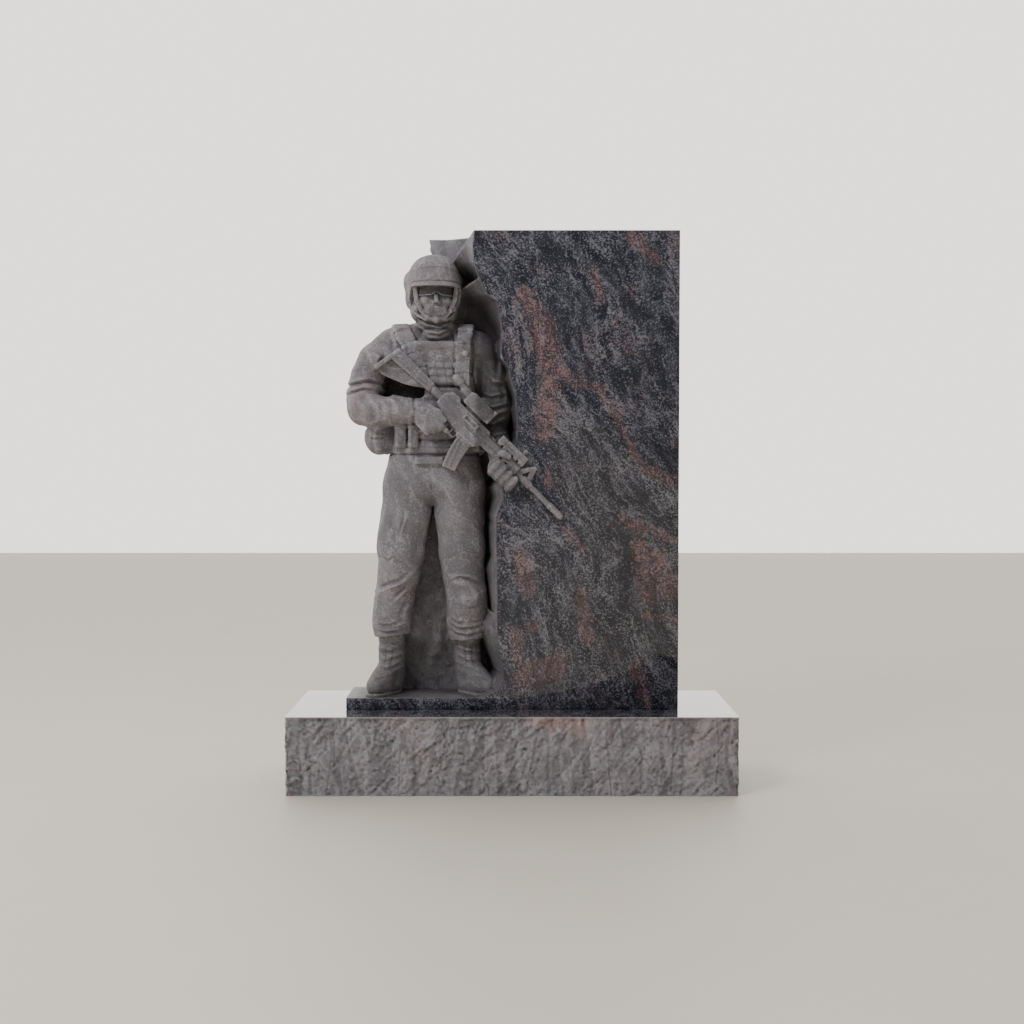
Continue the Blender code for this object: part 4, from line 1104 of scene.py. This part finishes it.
# Arms and gloved hands: loose sleeves, folded at the elbow. The right hand is at the grip, the left one
# under the fore-end of the carbine.
def carve_arms():
    # Hollow between the upper arm, the forearm and the trunk
    clay.block((-92, -62, 848), (72, 84, 36), rounding=14, blend=6, remove=True)
    clay.ball((-118, 0, 930), (62, 56, 58), blend=16)
    clay.limb([(-108, 2, 956, 50), (-157, 0, 915, 48), (-179, -4, 868, 46), (-189, -16, 820, 45),
               (-188, -30, 788, 47)], blend=10, inner=24)
    clay.limb([(-188, -32, 784, 46), (-150, -56, 774, 44), (-104, -80, 779, 36), (-58, -98, 777, 30),
               (-20, -108, 768, 26)], blend=5, inner=20)
    clay.ball((116, 4, 930), (63, 56, 66), blend=16)
    clay.limb([(124, 0, 928, 57), (157, -4, 862, 46), (167, -6, 790, 44), (163, -6, 734, 41)],
              blend=10, inner=24)
    clay.limb([(161, -8, 732, 40), (173, -52, 694, 33), (183, -84, 660, 28), (188, -102, 634, 25)],
              blend=5, inner=18)
    # Pocket with its flap on the right sleeve
    clay.block((-160, -36, 918), (28, 20, 25), turn=(0, 28, -36), rounding=8, blend=5)
    clay.block((-156, -39, 928), (29, 21, 12), turn=(0, 28, -36), rounding=5, blend=2)
    # Right sleeve: one deep double fold at the elbow, slanting slack folds in the forearm
    for path, width, depth, lip in (
        ([(-240, 846), (-206, 852), (-172, 858), (-140, 848)], 5.5, 9.5, 5.0),
        ([(-240, 820), (-214, 829), (-184, 836), (-156, 832)], 5, 7.5, 4.0),
        ([(-224, 880), (-200, 888), (-176, 884)], 7, 2.6, 2.2),
        ([(-214, 806), (-196, 778), (-186, 748)], 8, 4.6, 4.0),
        ([(-186, 816), (-160, 788), (-150, 744)], 8, 4.4, 4.0),
        ([(-160, 806), (-136, 790), (-128, 752)], 7, 3.8, 3.2),
        ([(-132, 808), (-108, 796), (-98, 764)], 6, 3.6, 3.0),
        ([(-150, 830), (-126, 818), (-96, 812)], 6, 4.6, 3.0),
        ([(-100, 812), (-76, 800), (-64, 772)], 6, 2.8, 2.4),
        ([(-196, 744), (-164, 732), (-130, 742)], 6, 2.6, 2.2),
        ([(-170, 966), (-146, 956), (-124, 962)], 8, 2.2, 2.0),
        ([(-122, 996), (-110, 968), (-106, 930)], 6, 3.2, 2.4),
        ([(-206, 908), (-184, 902), (-160, 896)], 6, 2.4, 2.0),
    ):
        clay.crease(path, width, depth, depths=(-140, 40), lip=lip)
    # Left sleeve: long slack folds from the shoulder, tight ones stacked over the elbow
    for path, width, depth, lip in (
        ([(164, 960), (176, 916), (172, 870)], 6, 3.6, 2.8),
        ([(146, 870), (160, 850), (200, 846)], 6, 4.6, 3.4),
        ([(128, 822), (158, 812), (206, 822)], 5, 4.4, 3.4),
        ([(134, 790), (164, 782), (210, 796)], 4.5, 5.0, 3.8),
        ([(130, 768), (164, 760), (210, 776)], 4.5, 4.6, 3.6),
        ([(134, 742), (166, 738), (206, 752)], 5, 4.8, 3.4),
        ([(150, 692), (176, 708), (206, 714)], 5, 3.6, 2.6),
        ([(158, 664), (180, 680), (208, 686)], 5, 3.0, 2.2),
        ([(180, 850), (190, 826), (188, 800)], 6, 3.0, 2.6),
    ):
        clay.crease(path, width, depth, depths=(-140, 60), lip=lip)


def carve_hands():
    # Right hand: the glove's back, the forefinger along the receiver, the others round the grip
    clay.limb([(-44, -102, 776, 29), (-14, -108, 768, 30), (12, -110, 746, 26)], blend=8, inner=14)
    clay.limb([(-8, -120, 786, 10), (16, -130, 770, 10), (34, -131, 752, 8)], blend=5)
    clay.crease([(-48, 806), (-42, 776), (-50, 742)], 4.0, 4.0, taper=False)
    clay.limb([(4, -124, 754, 10), (24, -128, 738, 9), (40, -124, 724, 7)], blend=4)
    for step, length in enumerate((30, 26, 21)):
        x, z = 2 - 11 * step, 747 - 4 * step
        clay.limb([(x - 10, -116, z + 4, 11), (x + 4, -126, z - 8, 10),
                   (x + length - 12, -124, z - 19, 8.5)], blend=5)
    for path in ([(-14, 792), (2, 780), (14, 764)], [(-24, 776), (-8, 764), (4, 748)]):
        clay.crease(path, 3.0, 2.0, lip=1.2)
    # Left hand: palm under the fore-end and four fingers that close over its lower edge
    clay.ball((182, -102, 622), (34, 25, 31), turn=(0, 45, 0), blend=8)
    for step in range(4):
        x, z = 170 + 15 * step, 630 - 14 * step
        clay.limb([(x - 12, -106, z - 18, 9.5), (x - 7, -119, z - 12, 9.5), (x + 1, -127, z - 2, 9),
                   (x + 9, -127, z + 7, 8)], blend=7)
    clay.limb([(174, -112, 658, 10), (192, -122, 662, 9), (206, -124, 654, 8)], blend=4)


carve_arms()
carve_hands()


# Head: helmet with rim band and ear covers, eyewear, chin straps and a scarf wound round the neck. The
# face between them is a plain general one. The head is turned a little to its left.
HEAD_PLACE = (0.0, -12.0, 1085.0)
HEAD_TURN = 9.0


class HeadClay:
    """Places the head's forms, given in its own frame, in the clay."""

    def __init__(self):
        self.matrix = turned((0, 0, HEAD_TURN))

    def at(self, point):
        moved = self.matrix @ np.array(point, np.float32)
        return tuple(float(a + b) for a, b in zip(moved, HEAD_PLACE))

    def ball(self, centre, radii, turn=(0, 0, 0), **options):
        clay.ball(self.at(centre), radii, turn=(turn[0], turn[1], turn[2] + HEAD_TURN), **options)

    def limb(self, stations, **options):
        clay.limb([(*self.at(station[:3]), station[3]) for station in stations], **options)

    def strap(self, path, half_width, half_height):
        clay.strap([self.at(point) for point in path], half_width, half_height, rounding=1.5, blend=2)

    def local(self, x, y, z):
        c, s = math.cos(math.radians(HEAD_TURN)), math.sin(math.radians(HEAD_TURN))
        dx, dy = x - HEAD_PLACE[0], y - HEAD_PLACE[1]
        return c * dx + s * dy, -s * dx + c * dy, z - HEAD_PLACE[2]


def dome(x, y, z, wide, long, high, fullness):
    """Distance to a full dome: an ellipsoid with a squarer outline."""
    level = sum(np.abs(place / size) ** fullness for place, size in ((x, wide), (y, long), (z, high)))
    return (level ** (1 / fullness) - 1) * np.minimum(wide, high) * 0.95


EYE_LINE, LENS_HALF = 15.0, 11.2


def carve_head():
    # Neck and scarf: cloth wound twice, its slack falling in a slanting V to the plate carrier
    clay.limb([(8, -4, 950, 46), (4, -10, 1030, 38)], blend=10)
    clay.ball((5, -16, 1010), (55, 52, 27), turn=(0, 4, 0), blend=8)
    clay.ball((10, -34, 986), (43, 44, 26), turn=(0, -6, 0), blend=6)
    for path, depth in (
        ([(-50, 1024), (-18, 1002), (22, 996), (48, 1010)], 4.6),
        ([(-44, 1004), (-14, 984), (20, 980), (50, 998)], 4.0),
        ([(-34, 988), (-8, 970), (18, 966)], 3.4), ([(-20, 1022), (14, 1012), (50, 1024)], 3.2),
    ):
        clay.crease(path, 4.0, depth, lip=depth * 0.6)
    head = HeadClay()
    # Skull and jaw, then the plain face
    head.ball((0, -6, 14), (55, 62, 66), blend=4)
    head.ball((0, -30, -24), (41, 44, 40), blend=12)
    head.ball((0, -56, -50), (20, 16, 13), blend=8)
    for side in (-1, 1):
        head.ball((side * 46, -12, -26), (20, 32, 36), blend=10)
    for side in (-1, 1):
        head.ball((side * 27, -50, -12), (18, 21, 18), blend=8)
        head.ball((side * 18, -64, -38), (14, 10, 14), blend=8)
    head.limb([(0, -70, 8, 6), (0, -82, -13, 6.5)], blend=6)
    for side in (-1, 1):
        head.ball((side * 7, -76, -16), (5, 6, 4.5), blend=3)
    head.ball((0, -72, -29), (15, 5, 3.6), blend=2.5)
    head.ball((0, -71, -37), (12, 5, 4), blend=2.5)
    # Eyewear: one curved band with a raised frame round two recessed lenses, which finish_carving darkens
    # with painted shade
    low = [HEAD_PLACE[0] - 74, HEAD_PLACE[1] - 110, HEAD_PLACE[2] - 20]
    high = [HEAD_PLACE[0] + 74, HEAD_PLACE[1] + 10, HEAD_PLACE[2] + 44]
    cuts, (x, y, z) = clay.window(low, high, 4)
    hx, hy, hz = head.local(x, y, z)
    bow = np.hypot(hx * 1.30, hy + 4)
    bridge = 5 * np.exp(-(hx / 9) ** 2)
    band = np.maximum(np.abs(bow - 73) - 7, np.abs(hz - EYE_LINE - bridge * 0.5) - 13 + bridge)
    clay.join(cuts, np.maximum(band, hy + 8), 2.0)
    lens = np.maximum(np.abs(hz - EYE_LINE - bridge * 0.5) - LENS_HALF + bridge, hy + 22)
    clay.cut(cuts, np.maximum(lens, np.abs(bow - 82) - 4.4), 1.5)
    # Helmet: a hollow dome, deep over the ears, with a rim band
    low = [HEAD_PLACE[0] - 110, HEAD_PLACE[1] - 120, HEAD_PLACE[2] - 50]
    high = [HEAD_PLACE[0] + 110, HEAD_PLACE[1] + 110, HEAD_PLACE[2] + 140]
    cuts, (x, y, z) = clay.window(low, high, 4)
    hx, hy, hz = head.local(x, y, z)
    shell = dome(hx, hy + 2, hz - 30, 75, 91, 90, 2.25)
    forward = -hy / np.maximum(np.hypot(hx, hy), 1e-3)
    rim = -25 + 51 * swell(0.38, 0.70, forward)
    above_rim = (rim - hz) * 0.8
    helmet = np.maximum(np.maximum(shell, above_rim), -np.maximum(shell + 9, hz - rim - 34))
    flare = shell - 3.4 * swell(16, 0, hz - rim)
    band = np.maximum(np.maximum(flare, above_rim), np.maximum(hz - rim - 10, -(shell + 9)))
    groove = np.maximum(np.abs(hz - rim - 13) - 1.6, np.abs(shell) - 1.8)
    clay.join(cuts, np.minimum(helmet, band), 1.5)
    clay.cut(cuts, groove, 1.5)
    for side in (-1, 1):
        head.ball((side * 70, 2, 46), (12, 20, 24), blend=8)
        head.ball((side * 68, 4, 4), (9, 24, 26), blend=6)
        # Chin straps: one from the temple, one from behind the ear, to the cup; the buckle on the jaw
        head.strap([(side * 56, -56, 26), (side * 52, -58, -8), (side * 40, -62, -36),
                    (side * 22, -66, -58)], 6, 3)
        head.strap([(side * 62, -6, -14), (side * 56, -28, -38), (side * 26, -62, -62)], 6, 3)
        head.ball((side * 50, -48, -30), (8, 8, 9), blend=2)
    head.limb([(-24, -64, -60, 6), (0, -72, -63, 7), (24, -64, -60, 6)], blend=2.5)
    # Seams of the helmet's cover
    for path in ([(-22, 1204), (-36, 1170), (-40, 1130)], [(26, 1202), (42, 1168), (48, 1128)],
                 [(-72, 1152), (-20, 1160), (34, 1160), (74, 1150)]):
        clay.crease(path, 2.6, 1.3, lip=0.8)


carve_head()


# Carbine: carved with the figure, its barrel left attached to the polished face. Its parts lie in a
# frame of their own: u runs from the butt to the muzzle at zero, v to its top.
class CarbineFrame:
    origin = (344.0, 494.0)
    depth = -98.0
    lean = 0.020
    slope = math.radians(45)

    def point(self, u, v):
        c, s = math.cos(self.slope), math.sin(self.slope)
        return self.origin[0] + u * c + v * s, self.origin[1] - u * s + v * c

    def local(self, x, z):
        c, s = math.cos(self.slope), math.sin(self.slope)
        dx, dz = x - self.origin[0], z - self.origin[1]
        return dx * c - dz * s, dx * s + dz * c

    def spot(self, u, v, w=0.0):
        x, z = self.point(u, v)
        return x, self.depth + w + self.lean * u, z


def carve_carbine():
    gun = CarbineFrame()
    steps = 8
    rear = [(-348 + 10 * t + 18 * t * t, -30 - 98 * t) for t in np.linspace(0, 1, steps)]
    front = [(-304 + 6 * t + 13 * t * t, -24 - 90 * t) for t in np.linspace(0, 1, steps)]
    magazine = [(float(u), float(v)) for u, v in rear + front[::-1]]
    plates = [
        # outline (u, v), front and back depth, rounding
        ([(-618, -21), (-618, 12), (-604, 15), (-488, 14), (-484, -12)], -13, 34, 3),
        ([(-616, -12), (-628, -66), (-606, -68), (-581, -59), (-549, -46), (-524, -31), (-492, -8)],
         2, 30, 2),
        ([(-621, 13), (-636, -66), (-624, -71), (-608, 13)], -15, 34, 3),
        ([(-450, -16), (-450, 16), (-436, 33), (-412, 36), (-402, 27), (-292, 27), (-286, 18), (-286, -22),
          (-302, -38), (-346, -46), (-362, -34), (-404, -32), (-430, -24)], -15, 44, 3),
        ([(-424, -20), (-398, -22), (-412, -84), (-438, -74)], -11, 34, 4),
        ([(-400, -28), (-396, -54), (-354, -58), (-342, -30)], -6, 20, 2),
        (magazine, -11, 30, 2.5),
        ([(-296, -17), (-296, 16), (-166, 15), (-166, -16)], -17, 22, 5),
        ([(-292, 10), (-292, 23), (-168, 23), (-168, 10)], -8, 20, 1.5),
        ([(-262, 20), (-261, 47), (-168, 49), (-165, 21)], -12, 22, 3),
        ([(-384, 22), (-386, 44), (-330, 44), (-332, 22)], -5, 18, 1.5),
        ([(-402, 38), (-402, 68), (-390, 74), (-318, 74), (-314, 70), (-314, 38), (-320, 34), (-396, 34)],
         -19, 16, 6),
        ([(-322, 36), (-322, 76), (-312, 76), (-312, 36)], -21, 16, 4),
        ([(-172, 8), (-142, 47), (-131, 47), (-152, 8)], -5, 16, 1),
        ([(-146, 42), (-134, 48), (-117, -8), (-130, -8)], -4, 15, 1),
        ([(-150, -4), (-150, 4), (-6, 4), (-6, -4)], 0, 24, 1),
    ]
    for outline, near, far, rounding in plates:
        clay.plate(outline, near, far, frame=gun, rounding=rounding, blend=1.6)
    tubes = [
        (-494, 0, -440, 2, 11), (-457, 66, -444, 65, 12), (-444, 65, -412, 58, 8.5),
        (-420, 59, -400, 56, 12),
        (-170, 0, -36, 0, 7.5), (-40, 0, -1, 0, 9.5), (-366, 72, -352, 72, 8),
        (-187, 44, -187, 57, 6.5), (-138, 0, -120, 0, 11), (-300, 0, -292, 0, 18),
    ]
    for u0, v0, u1, v1, radius in tubes:
        clay.limb([(*gun.spot(u0, v0), radius), (*gun.spot(u1, v1), radius)], blend=1.5)
    # Hollow behind the trigger, slots of the fore-end, rail teeth, port, ribs of the magazine
    for u, v in ((-378, -44), (-360, -45)):
        clay.plate([(u - 7, v - 5), (u - 7, v + 7), (u + 6, v + 7), (u + 6, v - 5)], -20, -1, frame=gun,
                   rounding=1, blend=1, remove=True)
    for index in range(6):
        u = -284 + 19 * index
        clay.plate([(u, 0), (u + 8, 0), (u + 8, -4), (u, -4)], -22, -15.2, frame=gun, rounding=0.5,
                   blend=1.5, remove=True)
        clay.plate([(u, 19), (u + 6, 19), (u + 6, 25), (u, 25)], -12, -3, frame=gun, rounding=0.5, blend=1,
                   remove=True)
    clay.plate([(-372, 2), (-372, 18), (-322, 18), (-322, 2)], -18.5, -10, frame=gun, rounding=1, blend=1.5)
    clay.plate([(-366, 5), (-366, 14), (-330, 14), (-330, 5)], -22, -15.5, frame=gun, rounding=0.5, blend=1,
               remove=True)
    clay.plate([(-352, -10), (-352, -38), (-296, -34), (-292, -10)], -18, -10, frame=gun, rounding=1.5,
               blend=1.5)
    for outline in (((-336, -50), (-312, -118)), ((-324, -48), (-300, -112))):
        path = [gun.point(*point) for point in outline]
        clay.crease(path, 2.4, 1.8, taper=False)
    for u0, v0, u1, v1, width, depth in (
        (-606, -8, -500, -2, 2.4, 2.0), (-600, 2, -500, 4, 2.2, 1.2), (-444, -6, -380, -8, 2.0, 1.6),
        (-430, 14, -384, 20, 2.0, 1.6), (-258, 34, -172, 35, 2.0, 1.6), (-240, 22, -240, 46, 1.8, 1.4),
        (-188, 22, -188, 46, 1.8, 1.4), (-352, 40, -352, 64, 2.0, 1.6), (-30, -10, -30, 10, 1.6, 1.4),
        (-22, -10, -22, 10, 1.6, 1.4), (-14, -10, -14, 10, 1.6, 1.4),
    ):
        clay.crease([gun.point(u0, v0), gun.point(u1, v1)], width, depth, taper=False)


carve_carbine()


# Chisel and rasp leave cloth, leather and metal alike a little uneven.
def rub_down():
    clay.field += 0.42 * unevenness(clay.axes, (17, 17, 17), 21)
    clay.field += 0.26 * unevenness(clay.axes, (7, 7, 7), 22)


rub_down()


# Skin: one closed mesh over the clay, joined to the sawn slab.
CORNERS = [(i, j, k) for i in (0, 1) for j in (0, 1) for k in (0, 1)]


def close_up(field):
    """Fills places where the surface would touch itself, and keeps it off the grid's border."""
    for axis in range(3):
        for place in (0, -1):
            side = [slice(None)] * 3
            side[axis] = place
            field[tuple(side)] = np.maximum(field[tuple(side)], 1.0)
    for _ in range(6):
        changed = 0
        inside = field < 0
        for first, second in ((0, 1), (0, 2), (1, 2)):
            def shifted(a, b):
                cut = [slice(None)] * 3
                cut[first] = slice(a, a - 1 or None)
                cut[second] = slice(b, b - 1 or None)
                return tuple(cut)
            quads = [inside[shifted(a, b)] for a, b in ((0, 0), (1, 0), (0, 1), (1, 1))]
            checked = (quads[0] == quads[3]) & (quads[1] == quads[2]) & (quads[0] != quads[1])
            changed += int(checked.sum())
            for a, b in ((0, 0), (1, 0), (0, 1), (1, 1)):
                part = field[shifted(a, b)]
                part[checked] = np.minimum(part[checked], -0.02)
        corners = [inside[i:inside.shape[0] - 1 + i, j:inside.shape[1] - 1 + j, k:inside.shape[2] - 1 + k]
                   for i, j, k in CORNERS]
        count = sum(corner.astype(np.uint8) for corner in corners)
        for number in range(4):
            pair = corners[number] & corners[7 - number]
            apart = (pair & (count == 2)) | (~corners[number] & ~corners[7 - number] & (count == 6))
            changed += int(apart.sum())
            for i, j, k in CORNERS:
                part = field[i:field.shape[0] - 1 + i, j:field.shape[1] - 1 + j, k:field.shape[2] - 1 + k]
                part[apart] = np.minimum(part[apart], -0.02)
        if not changed:
            break


def skin_of(clay):
    """Vertices and four-sided faces of the surface where the distance is zero."""
    field = clay.field
    close_up(field)
    inside = field < 0
    shape = [n - 1 for n in field.shape]
    count = np.zeros(shape, np.uint8)
    for i, j, k in CORNERS:
        count += inside[i:i + shape[0], j:j + shape[1], k:k + shape[2]]
    crossing = (count > 0) & (count < 8)
    cells = np.argwhere(crossing)
    index = np.full(shape, -1, np.int32)
    index[crossing] = np.arange(len(cells))
    values = [field[cells[:, 0] + i, cells[:, 1] + j, cells[:, 2] + k] for i, j, k in CORNERS]
    total, hits = np.zeros((len(cells), 3)), np.zeros(len(cells))
    for a, low in enumerate(CORNERS):
        for b, high in enumerate(CORNERS):
            if b <= a or sum(abs(p - q) for p, q in zip(low, high)) != 1:
                continue
            crossed = (values[a] < 0) != (values[b] < 0)
            share = np.where(crossed, values[a] / np.where(crossed, values[a] - values[b], 1), 0)
            point = np.array(low) + share[:, None] * (np.array(high) - np.array(low))
            total += point * crossed[:, None]
            hits += crossed
    corner = np.array([axis[0] for axis in clay.axes])
    points = corner + clay.cell * (cells + total / hits[:, None])
    faces = []
    for axis in range(3):
        others = [a for a in range(3) if a != axis]
        near = [slice(1, -1)] * 3
        near[axis] = slice(0, -1)
        far = list(near)
        far[axis] = slice(1, None)
        start, end = inside[tuple(near)], inside[tuple(far)]
        spots = np.argwhere(start != end)
        outward = start[tuple(spots.T)]
        for other in others:
            spots[:, other] += 1
        ring = []
        for a, b in ((0, 0), (1, 0), (1, 1), (0, 1)):
            where = spots.copy()
            where[:, others[0]] -= a
            where[:, others[1]] -= b
            ring.append(index[tuple(where.T)])
        quad = np.stack(ring, axis=1)
        flip = outward if axis == 1 else ~outward
        quad[flip] = quad[flip][:, ::-1]
        faces.append(quad)
    return points, np.concatenate(faces)


CARVING_TRIANGLES = 184_000
# How near the finished surface lies to the rough stone where no form was carved from it
ROCK_TOLERANCE = 1.6
# The eyewear's lenses lie between these distances from its bow's middle
LENS_BOW = (74, 79)
# The recess between the right arm and the trunk, darkened with painted shade
ELBOW_LOW, ELBOW_HIGH = (-172, -34, 806), (-20, 34, 890)
EDGE_ANGLE = math.radians(48)


def carved_skin():
    points, faces = skin_of(clay)
    mesh = bpy.data.meshes.new("carving")
    mesh.vertices.add(len(points))
    placed = points * MILLIMETRE + np.array(FIGURE_PLACE)
    mesh.vertices.foreach_set("co", placed.astype(np.float32).ravel())
    mesh.loops.add(faces.size)
    mesh.loops.foreach_set("vertex_index", faces.astype(np.int32).ravel())
    mesh.polygons.add(len(faces))
    mesh.polygons.foreach_set("loop_start", np.arange(0, faces.size, 4, dtype=np.int32))
    mesh.update(calc_edges=True)
    for stone in STONES:
        mesh.materials.append(stone)
    carving = bpy.data.objects.new("carving", mesh)
    bpy.context.scene.collection.objects.link(carving)
    thin = carving.modifiers.new("thin", "DECIMATE")
    thin.ratio = CARVING_TRIANGLES / (2 * len(faces))
    evaluated = carving.evaluated_get(bpy.context.evaluated_depsgraph_get())
    lighter = bpy.data.meshes.new_from_object(evaluated)
    carving.modifiers.remove(thin)
    carving.data = lighter
    bpy.data.meshes.remove(mesh)
    finish_carving(lighter)
    return carving


def finish_carving(mesh):
    """Rock stays as chiselled, the lenses and the hollow at the elbow take stone darkened with painted
    shade, all else is rubbed.
    """
    centres = np.empty(3 * len(mesh.polygons), np.float32)
    mesh.polygons.foreach_get("center", centres)
    x, y, z = ((centres.reshape(-1, 3) - np.array(FIGURE_PLACE)) / MILLIMETRE).T
    spot = [np.clip(np.rint((place - axis[0]) / clay.cell).astype(int), 0, len(axis) - 1)
            for place, axis in zip((x, y, z), clay.axes)]
    is_rock = np.abs(clay.field[tuple(spot)] - ROUGH_STONE[tuple(spot)]) < ROCK_TOLERANCE
    slots = np.where(is_rock, CHISELLED_SLOT, RUBBED_SLOT)
    hx, hy, hz = HeadClay().local(x, y, z)
    bow = np.hypot(hx * 1.30, hy + 4)
    is_lens = (np.abs(hz - EYE_LINE) < LENS_HALF) & (bow > LENS_BOW[0]) & (bow < LENS_BOW[1]) & (hy < -20)
    in_hollow = np.ones(len(x), bool)
    for place, low, high in zip((x, y, z), ELBOW_LOW, ELBOW_HIGH):
        in_hollow &= (place > low) & (place < high)
    # Painted shade on the lenses under the helmet's rim and in the hollow at the elbow
    slots[is_lens | in_hollow] = PAINTED_SHADE_SLOT
    mesh.polygons.foreach_set("material_index", slots.astype(np.int32))
    mesh.update()


combined(die, carved_skin(), "UNION")
die.data.shade_smooth()
die.data.set_sharp_from_angle(angle=EDGE_ANGLE)
die.name = "carved_headstone"
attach(die, "root")
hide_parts("headstone_with_soldier")


# Floor and studio light: a plain pale floor that runs back to a pale room, one broad soft light from
# above and in front, and a weak one from the left.
FLOOR_SHADE, FLOOR_COLOUR = (0.57, 0.525, 0.455, 1), (0.61, 0.565, 0.495, 1)
FLOOR_REACH = 9.0
ROOM_COLOUR = (1.0, 0.972, 0.925, 1)
FRONT_WALL, FAR_WALL = 0.38, 2.1


def floor():
    mesh = bpy.data.meshes.new("floor")
    corners = [(x * FLOOR_REACH, y * FLOOR_REACH, 0) for x, y in ((-1, -1), (1, -1), (1, 1), (-1, 1))]
    mesh.from_pydata(corners, [], [(0, 1, 2, 3)])
    made = bpy.data.objects.new("floor", mesh)
    bpy.context.scene.collection.objects.link(made)
    material, tree, shader = stone_material("pale_floor")
    place = add_node(tree, "ShaderNodeTexCoord").outputs["Object"]
    tone = mixed(tree, grainy(tree, place, 3.0, 4.0), FLOOR_SHADE, FLOOR_COLOUR)
    tree.links.new(tone, shader.inputs["Base Color"])
    shader.inputs["Roughness"].default_value = 0.55
    mesh.materials.append(material)


def soft_light(name, place, aim, size, power):
    data = bpy.data.lights.new(name, "AREA")
    data.shape = "RECTANGLE"
    data.size, data.size_y = size
    data.energy = power
    made = bpy.data.objects.new(name, data)
    bpy.context.scene.collection.objects.link(made)
    made.location = place
    direction = Vector(aim) - Vector(place)
    made.rotation_euler = direction.to_track_quat("-Z", "Y").to_euler()
    made.visible_glossy = False


def pale_room():
    """A room whose far wall, behind the stone, is brighter than the side that the camera stands in."""
    world = bpy.data.worlds.new("pale_room")
    bpy.context.scene.world = world
    world.use_nodes = True
    tree = world.node_tree
    direction = add_node(tree, "ShaderNodeTexCoord").outputs["Generated"]
    back = add_node(tree, "ShaderNodeSeparateXYZ", {0: direction}).outputs[1]
    strength = add_node(tree, "ShaderNodeMapRange", {
        "Value": back, "From Min": -0.6, "From Max": 0.7, "To Min": FRONT_WALL, "To Max": FAR_WALL},
        interpolation_type="SMOOTHSTEP").outputs["Result"]
    background = tree.nodes["Background"]
    background.inputs["Color"].default_value = ROOM_COLOUR
    tree.links.new(strength, background.inputs["Strength"])


floor()
pale_room()
soft_light("key", (-2.2, -2.5, 3.4), (-0.1, 0, 0.8), (1.3, 1.0), 88)
soft_light("left", (-3.2, -1.0, 1.6), (-0.2, 0, 0.9), (1.0, 1.6), 16)
